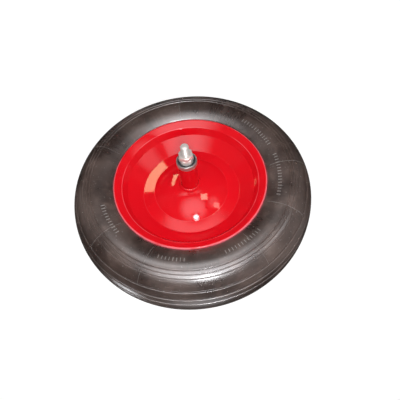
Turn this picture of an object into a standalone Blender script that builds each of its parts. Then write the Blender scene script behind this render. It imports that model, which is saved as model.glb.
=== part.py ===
"""Wheelbarrow wheel with a ribbed air tyre, a welded two-disc rim and cup-and-cone hub bearings.

The wheel stands upright: it spins about the Y axis, Z is up, and the origin is the middle of the axle.
The front is the side at -Y. Every size is in metres, and every radius is measured from the axle.
Turned pieces are drawn as (radius, height) points, where height runs outwards along the axle.
"""

import math

import bmesh
import bpy
from mathutils import Matrix, Vector

# Fits
SEAT_GAP = 0.0003
RUNNING_GAP = 0.0005
CUT_OVERSHOOT = 0.005

# Roundness of the meshes
WHEEL_SEGMENTS = 32
HUB_SEGMENTS = 20
SMALL_SEGMENTS = 12

# Rim hoop
RIM_SHEET = 0.0015
BEAD_SEAT_RADIUS = 0.1016
BEAD_SEAT_OUTER = 0.0285
BEAD_SEAT_INNER = 0.016
WELL_HALF_WIDTH = 0.011
WELL_DEPTH = 0.005
FLANGE_FOLD_RISE = 0.0034
FLANGE_FOLD_RADIUS = BEAD_SEAT_RADIUS + FLANGE_FOLD_RISE
FLANGE_FOLD_OFFSET = 0.0334
LIP_RISE = 0.0154
LIP_RADIUS = BEAD_SEAT_RADIUS + LIP_RISE
LIP_OFFSET = 0.043
LIP_CURL_RADIUS = 0.0022
LIP_TUCK = 0.001
LIP_CURL_POINTS = 3

# Tyre. Shares run from the rim's lip or the widest part out to the tread, and across half the width
TYRE_RADIUS = 0.186
TYRE_HALF_WIDTH = 0.049
TYRE_WIDEST_SHARE = 0.406
TYRE_WIDEST_RADIUS = LIP_RADIUS + (TYRE_RADIUS - LIP_RADIUS) * TYRE_WIDEST_SHARE
TREAD_THICKNESS = 0.008
SIDEWALL_THICKNESS = 0.0045
CROWN_FULLNESS = 2.1
BEAD_FULLNESS = 1.6
BEAD_TOE_OFFSET = 0.0185
BEAD_HOLLOW_POINTS = 2
CROWN_HOLLOW_POINTS = 3
LOWER_SIDEWALL_POINTS = 3
TREAD_GROOVE_SHARES = (0.173, 0.398, 0.663)
TREAD_GROOVE_WIDTH = 0.003
TREAD_GROOVE_DEPTH = 0.0024
SIDEWALL_LINE_SHARES = (0.427, 0.293, 0.159)
SIDEWALL_LINE_WIDTH = 0.0014
SIDEWALL_LINE_DEPTH = 0.0008
LIP_TO_TYRE = 0.0012

# Inner tube and rim tape
INNER_TUBE_WALL = 0.0016
RIM_TAPE_THICKNESS = 0.0012

# Pressed discs
DISC_SHEET = 0.002
DISC_TAB_OFFSET = 0.030
DISC_CORNER_OFFSET = 0.0265
DISC_WALL_WIDTH = 0.0261
DISC_VALLEY_RADIUS = BEAD_SEAT_RADIUS - DISC_WALL_WIDTH
DISC_VALLEY_OFFSET = 0.011
DISC_RING_WIDTH = 0.018
DISC_RING_RADIUS = DISC_VALLEY_RADIUS - DISC_RING_WIDTH
DISC_RING_OFFSET = 0.0135
DISC_FOOT_OFFSET = 0.031
DOME_POINTS = 4
DOME_SLOPE_POINTS = 40
DOME_RADIUS = 0.090

# Axle
AXLE_RADIUS = 0.006
AXLE_HALF_LENGTH = 0.123
AXLE_CHAMFER = 0.001

# Hub tube and its welds
HUB_TUBE_RADIUS = 0.01345
HUB_TUBE_WALL = 0.00245
AXLE_PAST_HUB_TUBE = 0.040
HUB_TUBE_HALF_LENGTH = AXLE_HALF_LENGTH - AXLE_PAST_HUB_TUBE
WELD_LEG = 0.0036

# Bearings
BALL_RADIUS = 0.00238
BALL_CIRCLE_RADIUS = 0.0098
BALL_COUNT = 9
BALL_SEGMENTS = 6
BALL_RINGS = 4
RACE_POINTS = 3
CUP_RACE_ANGLES = (0.0, -90.0)
CONE_RACE_ANGLES = (200.0, 100.0)
BALL_ABOVE_SEAT = 0.0029
CUP_RADIUS = 0.015
CUP_HEIGHT = 0.0075
CUP_WALL = 0.0018
CUP_EDGE_ROUND = 0.0006
CUP_INSERT_LENGTH = 0.008
CUP_BORE_RADIUS = 0.0087
SHIELD_SHEET = 0.0006
CONE_TIP_LENGTH = 0.0022
RETAINER_WIDTH = 0.001
RETAINER_LIFT = 0.0007

# Hexagons of the cones and lock nuts
HEX_ACROSS_FLATS = 0.019
CONE_HEX_PAST_HUB_TUBE = 0.008
CONE_HEX_OFFSET = HUB_TUBE_HALF_LENGTH + CONE_HEX_PAST_HUB_TUBE
CONE_HEX_HEIGHT = 0.008
LOCK_NUT_HEIGHT = 0.006
HEX_CHAMFER_ANGLE = 30.0
HEX_FACE_SHARE = 0.96
LOCK_NUT_TURN = 38.0

# Valve
VALVE_RADIUS = 0.0038
VALVE_AXIS_INSET = 0.0186
VALVE_AXIS_RADIUS = BEAD_SEAT_RADIUS - VALVE_AXIS_INSET
VALVE_BEND_RADIUS = 0.006
VALVE_BEND_POINTS = 5
VALVE_END_OFFSET = 0.034
VALVE_HOLE_CLEARANCE = 0.0018
VALVE_NUT_ACROSS_FLATS = 0.012
VALVE_NUT_HEIGHT = 0.003
VALVE_CORE_RADIUS = 0.0018
VALVE_CORE_LENGTH = 0.008
VALVE_CORE_STANDOUT = 0.0008
VALVE_CAP_WALL = 0.0012
VALVE_CAP_LENGTH = 0.011

# Colours as red, green, blue; then metallic and roughness
RED_PAINT = ((0.75, 0.01, 0.02), 0.0, 0.25)
BLACK_RUBBER = ((0.045, 0.04, 0.04), 0.0, 0.55)
SOFT_RUBBER = ((0.02, 0.02, 0.02), 0.0, 0.7)
BRIGHT_ZINC = ((0.80, 0.78, 0.76), 1.0, 0.3)
GREY_STEEL = ((0.35, 0.35, 0.36), 1.0, 0.4)
DARK_STEEL = ((0.12, 0.12, 0.13), 1.0, 0.45)
BALL_STEEL = ((0.60, 0.60, 0.62), 1.0, 0.15)
BRASS = ((0.70, 0.50, 0.20), 1.0, 0.3)
BLACK_PLASTIC = ((0.02, 0.02, 0.02), 0.0, 0.4)

# Local Z is the axle; these turn it to point out of the front or out of the rear
FRONT = Matrix.Rotation(math.radians(90), 4, "X")
REAR = Matrix.Rotation(math.radians(-90), 4, "X")
SMOOTH_ANGLE = math.radians(32)


def clear_scene():
    for old in list(bpy.data.objects):
        bpy.data.objects.remove(old, do_unlink=True)


def new_collection(name):
    collection = bpy.data.collections.new(name)
    bpy.context.scene.collection.children.link(collection)
    return collection


def paint(obj, finish):
    """Gives the object a material of its own."""
    colour, metallic, roughness = finish
    material = bpy.data.materials.new(obj.name)
    material.use_nodes = True
    shader = material.node_tree.nodes["Principled BSDF"]
    shader.inputs["Base Color"].default_value = (*colour, 1.0)
    shader.inputs["Metallic"].default_value = metallic
    shader.inputs["Roughness"].default_value = roughness
    obj.data.materials.clear()
    obj.data.materials.append(material)


def add_object(name, mesh, finish, pose=REAR):
    obj = bpy.data.objects.new(name, mesh)
    obj.matrix_world = pose
    PARTS.objects.link(obj)
    if finish:
        paint(obj, finish)
    return obj


def as_cutter(obj):
    PARTS.objects.unlink(obj)
    CUTTERS.objects.link(obj)
    obj.hide_render = True
    obj.display_type = "WIRE"
    return obj


def cut(obj, cutter):
    boolean = obj.modifiers.new("cut_" + cutter.name, "BOOLEAN")
    boolean.operation = "DIFFERENCE"
    boolean.object = cutter


def join(obj, other):
    boolean = obj.modifiers.new("join_" + other.name, "BOOLEAN")
    boolean.operation = "UNION"
    boolean.object = other


def keep_common(obj, other):
    boolean = obj.modifiers.new("trim_" + other.name, "BOOLEAN")
    boolean.operation = "INTERSECT"
    boolean.object = other


def settle(obj, graph):
    """Applies the object's modifiers and keeps only its true corners sharp."""
    mesh = bpy.data.meshes.new_from_object(obj.evaluated_get(graph))
    mesh.name = obj.name
    mesh.shade_smooth()
    mesh.set_sharp_from_angle(angle=SMOOTH_ANGLE)
    return mesh


def settle_all():
    """Turns every part into a plain mesh, then removes the cutters."""
    bpy.context.view_layer.update()
    graph = bpy.context.evaluated_depsgraph_get()
    settled = [(obj, settle(obj, graph)) for obj in PARTS.objects]
    for obj, mesh in settled:
        obj.modifiers.clear()
        obj.data = mesh
    for cutter in list(CUTTERS.objects):
        bpy.data.objects.remove(cutter, do_unlink=True)
    bpy.data.collections.remove(CUTTERS)


def clockwise(outline):
    """The closed outline in the order that turns into an outward-facing ring."""
    area = 0.0
    for (r0, h0), (r1, h1) in zip(outline, outline[1:] + outline[:1]):
        area += r0 * h1 - r1 * h0
    return outline[::-1] if area > 0 else outline


def turned(name, outline, finish, pose=REAR, segments=HUB_SEGMENTS, closed=True):
    """Spins (radius, height) points round the axle. An open outline starts and ends on the axle."""
    points = clockwise(outline) if closed else outline
    mesh = bpy.data.meshes.new(name)
    edges = [(i, i + 1) for i in range(len(points) - 1)]
    if closed:
        edges.append((len(points) - 1, 0))
    mesh.from_pydata([(r, 0.0, h) for r, h in points], edges, [])
    obj = add_object(name, mesh, finish, pose)
    screw = obj.modifiers.new("turn", "SCREW")
    screw.axis = "Z"
    screw.steps = segments
    screw.render_steps = segments
    screw.use_merge_vertices = True
    screw.merge_threshold = 0.00001
    return obj


def prism(name, across_flats, low, high, finish, pose):
    """A hexagon from low to high along the axle, one flat facing up."""
    corner_radius = across_flats / 2 / math.cos(math.pi / 6)
    shape = bmesh.new()
    flat_up = Matrix.Rotation(math.pi / 6, 4, "Z")
    middle = Matrix.Translation((0, 0, (low + high) / 2)) @ flat_up
    bmesh.ops.create_cone(
        shape,
        cap_ends=True,
        segments=6,
        radius1=corner_radius,
        radius2=corner_radius,
        depth=high - low,
        matrix=middle,
    )
    mesh = bpy.data.meshes.new(name)
    shape.to_mesh(mesh)
    shape.free()
    return add_object(name, mesh, finish, pose)


def rod(name, radius, start, end, finish, segments=SMALL_SEGMENTS):
    """A cylinder between two points in world space."""
    start = Vector(start)
    end = Vector(end)
    turn = (end - start).to_track_quat("Z", "Y").to_matrix().to_4x4()
    pose = Matrix.Translation((start + end) / 2) @ turn
    shape = bmesh.new()
    bmesh.ops.create_cone(
        shape, cap_ends=True, segments=segments, radius1=radius, radius2=radius, depth=(end - start).length
    )
    mesh = bpy.data.meshes.new(name)
    shape.to_mesh(mesh)
    shape.free()
    return add_object(name, mesh, finish, pose)


def arc(centre, radius, first, last, count):
    """Points on an arc in the (radius, height) plane, by angles in degrees from the radius axis."""
    points = []
    for i in range(count):
        angle = math.radians(first + (last - first) * i / (count - 1))
        points.append((centre[0] + radius * math.cos(angle), centre[1] + radius * math.sin(angle)))
    return points


def offset_line(path, distance):
    """The open path moved sideways to its left by distance, with mitred corners."""
    directions = []
    for (r0, h0), (r1, h1) in zip(path, path[1:]):
        length = math.hypot(r1 - r0, h1 - h0)
        directions.append(((r1 - r0) / length, (h1 - h0) / length))
    moved = []
    for i, (r, h) in enumerate(path):
        before = directions[max(i - 1, 0)]
        after = directions[min(i, len(directions) - 1)]
        normal = (-before[1] - after[1], before[0] + after[0])
        size = math.hypot(*normal)
        normal = (normal[0] / size, normal[1] / size)
        lean = normal[0] * -after[1] + normal[1] * after[0]
        moved.append((r + normal[0] * distance / lean, h + normal[1] * distance / lean))
    return moved


def sheet_outline(path, thickness):
    """The closed outline of a sheet whose right-hand face follows the path."""
    return path + offset_line(path, thickness)[::-1]


def hoop_tyre_face():
    """Half of the hoop's face towards the tyre, from the drop centre to the end of the rolled lip."""
    curl_centre = (LIP_RADIUS - LIP_CURL_RADIUS, LIP_OFFSET - LIP_CURL_RADIUS)
    rise = LIP_OFFSET - FLANGE_FOLD_OFFSET - RIM_SHEET
    run = curl_centre[0] - FLANGE_FOLD_RADIUS
    flange_angle = math.degrees(math.atan2(rise, run))
    curl = arc(curl_centre, LIP_CURL_RADIUS - RIM_SHEET, 90 + flange_angle, 0, LIP_CURL_POINTS)
    return [
        (BEAD_SEAT_RADIUS - WELL_DEPTH, WELL_HALF_WIDTH),
        (BEAD_SEAT_RADIUS, BEAD_SEAT_INNER),
        (BEAD_SEAT_RADIUS, BEAD_SEAT_OUTER),
        (FLANGE_FOLD_RADIUS, FLANGE_FOLD_OFFSET),
        *curl,
        (LIP_RADIUS - RIM_SHEET, curl_centre[1] - LIP_TUCK),
    ]


def crown_radius(offset):
    """Radius of the tread, before its grooves, at a distance from the wheel's middle plane."""
    rise = TYRE_RADIUS - TYRE_WIDEST_RADIUS
    share = 1 - (offset / TYRE_HALF_WIDTH) ** CROWN_FULLNESS
    return TYRE_WIDEST_RADIUS + rise * share ** (1 / CROWN_FULLNESS)


def sidewall_offset(radius):
    """Distance of the upper sidewall from the wheel's middle plane, at a radius."""
    share = 1 - ((radius - TYRE_WIDEST_RADIUS) / (TYRE_RADIUS - TYRE_WIDEST_RADIUS)) ** CROWN_FULLNESS
    return TYRE_HALF_WIDTH * share ** (1 / CROWN_FULLNESS)


def tyre_outside():
    """Half of the tyre's outer face, from the middle of the tread to beside the rim's lip."""
    half_groove = TREAD_GROOVE_WIDTH / 2
    points = [(TYRE_RADIUS, 0.0)]
    for share in TREAD_GROOVE_SHARES:
        offset = TYRE_HALF_WIDTH * share
        points.append((crown_radius(offset - half_groove), offset - half_groove))
        points.append((crown_radius(offset) - TREAD_GROOVE_DEPTH, offset))
        points.append((crown_radius(offset + half_groove), offset + half_groove))
    half_line = SIDEWALL_LINE_WIDTH / 2
    rise = TYRE_RADIUS - TYRE_WIDEST_RADIUS
    line_radii = [TYRE_WIDEST_RADIUS + rise * share for share in SIDEWALL_LINE_SHARES]
    shoulder = (points[-1][0] + line_radii[0] + half_line) / 2
    points.append((shoulder, sidewall_offset(shoulder)))
    for radius in line_radii:
        points.append((radius + half_line, sidewall_offset(radius + half_line)))
        points.append((radius, sidewall_offset(radius) - SIDEWALL_LINE_DEPTH))
        points.append((radius - half_line, sidewall_offset(radius - half_line)))
    lip_radius = LIP_RADIUS + LIP_TO_TYRE
    lip_offset = LIP_OFFSET + LIP_TO_TYRE / 2
    for step in range(LOWER_SIDEWALL_POINTS):
        share = step / (LOWER_SIDEWALL_POINTS - 1)
        radius = TYRE_WIDEST_RADIUS + (lip_radius - TYRE_WIDEST_RADIUS) * share
        points.append((radius, TYRE_HALF_WIDTH - (TYRE_HALF_WIDTH - lip_offset) * share**2))
    return points


def tyre_bead():
    """Half of the tyre's foot: under the lip, down the flange, along the bead seat to the toe."""
    face = hoop_tyre_face()
    lip_end = face[-1]
    fold = face[3]
    curl_start = face[4]
    leave_offset = lip_end[1] - SEAT_GAP
    share = (leave_offset - fold[1]) / (curl_start[1] - fold[1])
    leave = (fold[0] + share * (curl_start[0] - fold[0]), leave_offset)
    seat_line = [(BEAD_SEAT_RADIUS, BEAD_TOE_OFFSET), face[2], fold, leave]
    foot = offset_line(seat_line, -SEAT_GAP)
    under_lip = (LIP_RADIUS + LIP_TO_TYRE / 2, lip_end[1] - SEAT_GAP)
    return [under_lip, *reversed(foot)]


def tape_outside():
    return BEAD_SEAT_RADIUS - WELL_DEPTH + SEAT_GAP + RIM_TAPE_THICKNESS


def tyre_hollow():
    """Half of the tyre's hollow, from the toe of the bead to under the middle of the tread."""
    half_width = TYRE_HALF_WIDTH - SIDEWALL_THICKNESS
    crown = TYRE_RADIUS - TREAD_THICKNESS
    drop = TYRE_WIDEST_RADIUS - tape_outside()
    toe_angle = math.asin((BEAD_TOE_OFFSET / half_width) ** (BEAD_FULLNESS / 2))
    points = []
    for i in range(BEAD_HOLLOW_POINTS):
        angle = toe_angle + (math.pi / 2 - toe_angle) * i / BEAD_HOLLOW_POINTS
        radius = TYRE_WIDEST_RADIUS - drop * math.cos(angle) ** (2 / BEAD_FULLNESS)
        points.append((radius, half_width * math.sin(angle) ** (2 / BEAD_FULLNESS)))
    for i in range(CROWN_HOLLOW_POINTS + 1):
        angle = math.pi / 2 * i / CROWN_HOLLOW_POINTS
        radius = TYRE_WIDEST_RADIUS + (crown - TYRE_WIDEST_RADIUS) * math.sin(angle)
        points.append((radius, half_width * math.cos(angle)))
    points[-1] = (crown, 0.0)
    return points


def on_middle_plane(half):
    """The half outline with its last point moved to the wheel's middle plane."""
    return half[:-1] + [(half[-1][0], 0.0)]


def make_tyre():
    half = tyre_outside()[1:] + tyre_bead() + tyre_hollow()
    mirror = [(r, -h) for r, h in reversed(half[:-1])]
    outline = [(TYRE_RADIUS, 0.0), *half, *mirror]
    return turned("tyre", outline, BLACK_RUBBER, segments=WHEEL_SEGMENTS)


def ring_loop(half):
    """The closed section whose half runs from the middle plane to the middle plane."""
    return half + [(r, -h) for r, h in reversed(half[1:-1])]


def make_inner_tube():
    """Fills the tyre's hollow down to the rim tape, with a hole at the bottom for the valve."""
    floor = tape_outside() + SEAT_GAP
    side = on_middle_plane(offset_line(tyre_hollow(), -SEAT_GAP))
    outside = [(floor, 0.0), (floor, WELL_HALF_WIDTH - SEAT_GAP), *side]
    inside = on_middle_plane(offset_line(outside, -INNER_TUBE_WALL))
    tube = turned("inner_tube", ring_loop(outside), SOFT_RUBBER, segments=WHEEL_SEGMENTS)
    hollow = turned("inner_tube_hollow", ring_loop(inside), None, segments=WHEEL_SEGMENTS)
    cut(tube, as_cutter(hollow))
    cut(tube, valve_hole("inner_tube_valve_hole", VALVE_RADIUS + SEAT_GAP))
    return tube


def make_rim_tape():
    low = BEAD_SEAT_RADIUS - WELL_DEPTH + SEAT_GAP
    high = tape_outside()
    side = WELL_HALF_WIDTH - SEAT_GAP
    outline = [(low, -side), (high, -side), (high, side), (low, side)]
    tape = turned("rim_tape", outline, SOFT_RUBBER, segments=WHEEL_SEGMENTS)
    cut(tape, valve_hole("rim_tape_valve_hole", VALVE_RADIUS + SEAT_GAP))
    return tape


def make_rim_hoop():
    half = hoop_tyre_face()
    path = [(r, -h) for r, h in reversed(half)] + half
    hoop = turned("rim_hoop", sheet_outline(path, RIM_SHEET), RED_PAINT, segments=WHEEL_SEGMENTS)
    cut(hoop, valve_hole("rim_hoop_valve_hole", VALVE_RADIUS + SEAT_GAP))
    return hoop


def dome_line(count):
    """The dome of a disc, from the flat ring down to the hub tube."""
    start = Vector((DISC_RING_RADIUS, DISC_RING_OFFSET))
    end = Vector((HUB_TUBE_RADIUS + SEAT_GAP, DISC_FOOT_OFFSET))
    chord = end - start
    inwards = Vector((-chord.y, chord.x)).normalized()
    depth = math.sqrt(DOME_RADIUS**2 - (chord.length / 2) ** 2)
    centre = (start + end) / 2 + inwards * depth
    first = math.degrees(math.atan2(start.y - centre.y, start.x - centre.x))
    last = math.degrees(math.atan2(end.y - centre.y, end.x - centre.x))
    return arc(centre, DOME_RADIUS, first, last, count)


def make_disc(name, pose):
    """A pressed dish: tab under the bead seat, cone wall, valley, flat ring and dome."""
    tab_radius = BEAD_SEAT_RADIUS - RIM_SHEET - SEAT_GAP - DISC_SHEET
    face = [
        (tab_radius, DISC_TAB_OFFSET),
        (tab_radius, DISC_CORNER_OFFSET),
        (DISC_VALLEY_RADIUS, DISC_VALLEY_OFFSET),
        *dome_line(DOME_POINTS),
    ]
    outline = sheet_outline(face, DISC_SHEET)
    back_of_foot = outline[len(face)]
    outline[len(face)] = (face[-1][0], back_of_foot[1])
    return turned(name, outline, RED_PAINT, pose, segments=WHEEL_SEGMENTS)


def make_hub_tube():
    bore = HUB_TUBE_RADIUS - HUB_TUBE_WALL
    end = HUB_TUBE_HALF_LENGTH
    outline = [(bore, -end), (HUB_TUBE_RADIUS, -end), (HUB_TUBE_RADIUS, end), (bore, end)]
    return turned("hub_tube", outline, RED_PAINT)


def make_hub_weld(name, pose):
    """A fillet between a disc's foot and the hub tube."""
    inner = HUB_TUBE_RADIUS + SEAT_GAP
    foot = DISC_FOOT_OFFSET + SEAT_GAP
    outer = inner + WELD_LEG
    slope = dome_line(DOME_SLOPE_POINTS)
    outer_foot = next(h for r, h in slope if r <= outer) + SEAT_GAP
    outline = [(inner, foot), (outer, outer_foot), (inner, foot + WELD_LEG)]
    return turned(name, outline, RED_PAINT, pose)


def cup_seat():
    return HUB_TUBE_HALF_LENGTH + SEAT_GAP


def ball_centre():
    return (BALL_CIRCLE_RADIUS, cup_seat() + BALL_ABOVE_SEAT)


def make_bearing_cup(name, pose):
    """A pressed cup: its sleeve sits in the hub tube, and its bowl holds the balls."""
    seat = cup_seat()
    sleeve = HUB_TUBE_RADIUS - HUB_TUBE_WALL - SEAT_GAP
    mouth = CUP_RADIUS - CUP_WALL
    rim = seat + CUP_HEIGHT
    race = arc(ball_centre(), BALL_RADIUS + SEAT_GAP, *CUP_RACE_ANGLES, RACE_POINTS)
    outline = [
        (CUP_BORE_RADIUS, seat - CUP_INSERT_LENGTH),
        (sleeve, seat - CUP_INSERT_LENGTH),
        (sleeve, seat),
        (CUP_RADIUS, seat),
        (CUP_RADIUS, rim - CUP_EDGE_ROUND),
        (CUP_RADIUS - CUP_EDGE_ROUND, rim),
        (mouth, rim),
        (mouth, ball_centre()[1] + BALL_RADIUS),
        *race,
        (CUP_BORE_RADIUS, race[-1][1]),
    ]
    return turned(name, outline, GREY_STEEL, pose)


def cone_race():
    """The cone's track for the balls, from its tip to its shoulder."""
    return arc(ball_centre(), BALL_RADIUS + SEAT_GAP, *CONE_RACE_ANGLES, RACE_POINTS)


def make_dust_shield(name, pose):
    """A flat ring in the mouth of the cup, clear of the cone."""
    inner = cone_race()[-1][0] + RUNNING_GAP
    outer = CUP_RADIUS - CUP_WALL - SEAT_GAP
    low = ball_centre()[1] + BALL_RADIUS + SEAT_GAP
    high = low + SHIELD_SHEET
    outline = [(inner, low), (outer, low), (outer, high), (inner, high)]
    return turned(name, outline, DARK_STEEL, pose)


def make_ball_cage(name, pose):
    """The balls, held by a ring that passes through all of them."""
    radius, height = ball_centre()
    inner = radius - RETAINER_WIDTH / 2
    outer = radius + RETAINER_WIDTH / 2
    low = height + RETAINER_LIFT
    high = low + RETAINER_WIDTH
    outline = [(inner, low), (outer, low), (outer, high), (inner, high)]
    cage = turned(name, outline, BALL_STEEL, pose)
    shape = bmesh.new()
    for i in range(BALL_COUNT):
        around = Matrix.Rotation(2 * math.pi * i / BALL_COUNT, 4, "Z")
        place = around @ Matrix.Translation((radius, 0, height))
        bmesh.ops.create_uvsphere(
            shape, u_segments=BALL_SEGMENTS, v_segments=BALL_RINGS, radius=BALL_RADIUS, matrix=place
        )
    mesh = bpy.data.meshes.new(name + "_balls")
    shape.to_mesh(mesh)
    shape.free()
    balls = as_cutter(add_object(name + "_balls", mesh, None, pose))
    join(cage, balls)
    return cage


def make_axle():
    end = AXLE_HALF_LENGTH
    nose = AXLE_RADIUS - AXLE_CHAMFER
    outline = [
        (0.0, end),
        (nose, end),
        (AXLE_RADIUS, end - AXLE_CHAMFER),
        (AXLE_RADIUS, AXLE_CHAMFER - end),
        (nose, -end),
        (0.0, -end),
    ]
    return turned("axle", outline, BRIGHT_ZINC, closed=False)


def axle_bore(name, low, high, pose):
    """A cutter for the threaded bore of a cone or a nut."""
    radius = AXLE_RADIUS + SEAT_GAP
    outline = [(0.0, high), (radius, high), (radius, low), (0.0, low)]
    return as_cutter(turned(name, outline, None, pose, closed=False))


def corner_trim(name, low, high, both_ends, pose):
    """A round blank that takes the corners off a hexagon."""
    corner = HEX_ACROSS_FLATS / 2 / math.cos(math.pi / 6) + SEAT_GAP
    face = HEX_ACROSS_FLATS / 2 * HEX_FACE_SHARE
    drop = (corner - face) * math.tan(math.radians(HEX_CHAMFER_ANGLE))
    outline = [(0.0, high), (face, high), (corner, high - drop)]
    if both_ends:
        outline += [(corner, low + drop), (face, low), (0.0, low)]
    else:
        outline += [(corner, low - drop), (0.0, low - drop)]
    return as_cutter(turned(name, outline, None, pose, closed=False))


def cone_hex_top():
    return CONE_HEX_OFFSET + CONE_HEX_HEIGHT


def make_cone(name, pose):
    """A bearing cone with a hexagon head, threaded on the axle."""
    race = cone_race()
    tip = race[0][1] - CONE_TIP_LENGTH
    top = cone_hex_top()
    cone = prism(name, HEX_ACROSS_FLATS, CONE_HEX_OFFSET, top, BRIGHT_ZINC, pose)
    keep_common(cone, corner_trim(name + "_trim", CONE_HEX_OFFSET, top, False, pose))
    body_top = CONE_HEX_OFFSET + CONE_HEX_HEIGHT / 2
    outline = [(0.0, body_top), (race[-1][0], body_top), *reversed(race), (race[0][0], tip), (0.0, tip)]
    join(cone, as_cutter(turned(name + "_body", outline, None, pose, closed=False)))
    cut(cone, axle_bore(name + "_bore", tip - CUT_OVERSHOOT, top + CUT_OVERSHOOT, pose))
    return cone


def make_lock_nut(name, pose):
    low = cone_hex_top() + SEAT_GAP
    high = low + LOCK_NUT_HEIGHT
    turn = pose @ Matrix.Rotation(math.radians(LOCK_NUT_TURN), 4, "Z")
    nut = prism(name, HEX_ACROSS_FLATS, low, high, BRIGHT_ZINC, turn)
    keep_common(nut, corner_trim(name + "_trim", low, high, True, pose))
    cut(nut, axle_bore(name + "_bore", low - CUT_OVERSHOOT, high + CUT_OVERSHOOT, pose))
    return nut


def valve_hole(name, radius):
    """A cutter through the rim side of the wheel, where the valve comes out at the bottom."""
    start = (0, 0, -VALVE_AXIS_RADIUS)
    end = (0, 0, -TYRE_WIDEST_RADIUS)
    return as_cutter(rod(name, radius, start, end, None))


def valve_route():
    """The bent line of the valve: towards the axle, then out of the rear side."""
    start = tape_outside() + SEAT_GAP + INNER_TUBE_WALL
    bend_centre = (VALVE_AXIS_RADIUS + VALVE_BEND_RADIUS, VALVE_BEND_RADIUS)
    bend = arc(bend_centre, VALVE_BEND_RADIUS, -90, -180, VALVE_BEND_POINTS)
    return [(start, 0.0), *bend, (VALVE_AXIS_RADIUS, VALVE_END_OFFSET)]


def make_valve_stem():
    curve = bpy.data.curves.new("valve_stem_route", "CURVE")
    curve.dimensions = "3D"
    curve.bevel_depth = VALVE_RADIUS
    curve.bevel_resolution = 2
    curve.use_fill_caps = True
    spline = curve.splines.new("POLY")
    route = valve_route()
    spline.points.add(len(route) - 1)
    for point, (radius, offset) in zip(spline.points, route):
        point.co = (0.0, offset, -radius, 1.0)
    wire = add_object("valve_stem_route", curve, None, Matrix.Identity(4))
    bpy.context.view_layer.update()
    graph = bpy.context.evaluated_depsgraph_get()
    mesh = bpy.data.meshes.new_from_object(wire.evaluated_get(graph))
    shape = bmesh.new()
    shape.from_mesh(mesh)
    bmesh.ops.remove_doubles(shape, verts=shape.verts, dist=0.00001)
    bmesh.ops.recalc_face_normals(shape, faces=shape.faces)
    shape.to_mesh(mesh)
    shape.free()
    stem = add_object("valve_stem", mesh, BRASS, wire.matrix_world.copy())
    bpy.data.objects.remove(wire, do_unlink=True)
    pocket_floor = VALVE_END_OFFSET - VALVE_CORE_LENGTH - SEAT_GAP
    start = (0, pocket_floor, -VALVE_AXIS_RADIUS)
    end = (0, VALVE_END_OFFSET + VALVE_CORE_LENGTH, -VALVE_AXIS_RADIUS)
    pocket = rod("valve_stem_pocket", VALVE_CORE_RADIUS + SEAT_GAP, start, end, None)
    cut(stem, as_cutter(pocket))
    return stem


def make_valve_core():
    start = (0, VALVE_END_OFFSET - VALVE_CORE_LENGTH, -VALVE_AXIS_RADIUS)
    end = (0, VALVE_END_OFFSET + VALVE_CORE_STANDOUT, -VALVE_AXIS_RADIUS)
    return rod("valve_core", VALVE_CORE_RADIUS, start, end, BRASS)


def make_valve_cap():
    inner = VALVE_RADIUS + SEAT_GAP
    outer = inner + VALVE_CAP_WALL
    ceiling = VALVE_END_OFFSET + VALVE_CORE_STANDOUT + SEAT_GAP
    top = ceiling + VALVE_CAP_WALL
    low = top - VALVE_CAP_LENGTH
    outline = [(0.0, top), (outer, top), (outer, low), (inner, low), (inner, ceiling), (0.0, ceiling)]
    pose = Matrix.Translation((0, 0, -VALVE_AXIS_RADIUS)) @ REAR
    return turned("valve_cap", outline, BLACK_PLASTIC, pose, segments=SMALL_SEGMENTS, closed=False)


def make_valve_nut():
    """A thin nut that draws the valve against the drop centre."""
    well_bore = (BEAD_SEAT_RADIUS - WELL_DEPTH - RIM_SHEET) * math.cos(math.pi / WHEEL_SEGMENTS)
    corner = VALVE_NUT_ACROSS_FLATS / 2 / math.cos(math.pi / 6)
    high = math.sqrt(well_bore**2 - corner**2) - SEAT_GAP
    low = high - VALVE_NUT_HEIGHT
    downwards = Matrix.Rotation(math.pi, 4, "X")
    nut = prism("valve_nut", VALVE_NUT_ACROSS_FLATS, low, high, BRASS, downwards)
    cut(nut, valve_hole("valve_nut_bore", VALVE_RADIUS + SEAT_GAP))
    return nut


def main():
    make_tyre()
    make_inner_tube()
    make_rim_tape()
    make_rim_hoop()
    make_disc("front_disc", FRONT)
    rear_disc = make_disc("rear_disc", REAR)
    hole_start = (0, DISC_VALLEY_OFFSET - VALVE_BEND_RADIUS, -VALVE_AXIS_RADIUS)
    hole_end = (0, VALVE_END_OFFSET, -VALVE_AXIS_RADIUS)
    hole = rod("rear_disc_valve_hole", VALVE_RADIUS + VALVE_HOLE_CLEARANCE, hole_start, hole_end, None)
    cut(rear_disc, as_cutter(hole))
    make_hub_tube()
    make_axle()
    for side, pose in (("front", FRONT), ("rear", REAR)):
        make_hub_weld(side + "_hub_weld", pose)
        make_bearing_cup(side + "_bearing_cup", pose)
        make_dust_shield(side + "_dust_shield", pose)
        make_ball_cage(side + "_ball_cage", pose)
        make_cone(side + "_cone", pose)
        make_lock_nut(side + "_lock_nut", pose)
    make_valve_stem()
    make_valve_nut()
    make_valve_core()
    make_valve_cap()
    settle_all()


clear_scene()
PARTS = new_collection("wheelbarrow_wheel")
CUTTERS = new_collection("cutters")
main()
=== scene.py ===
"""Looks of the wheelbarrow wheel: each piece is made again finely in place of its solid, and dressed.

The wheel stands upright and spins about the Y axis. Z is up, the front is the side at -Y, and sizes are
metres. Turned pieces are drawn as (radius, height) points, where height runs outwards along the axle.
"""

from __future__ import annotations

import logging
import math
import random
from dataclasses import dataclass, field
from enum import Enum
from typing import Any

import bmesh
import bpy
from mathutils import Matrix, Vector

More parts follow.
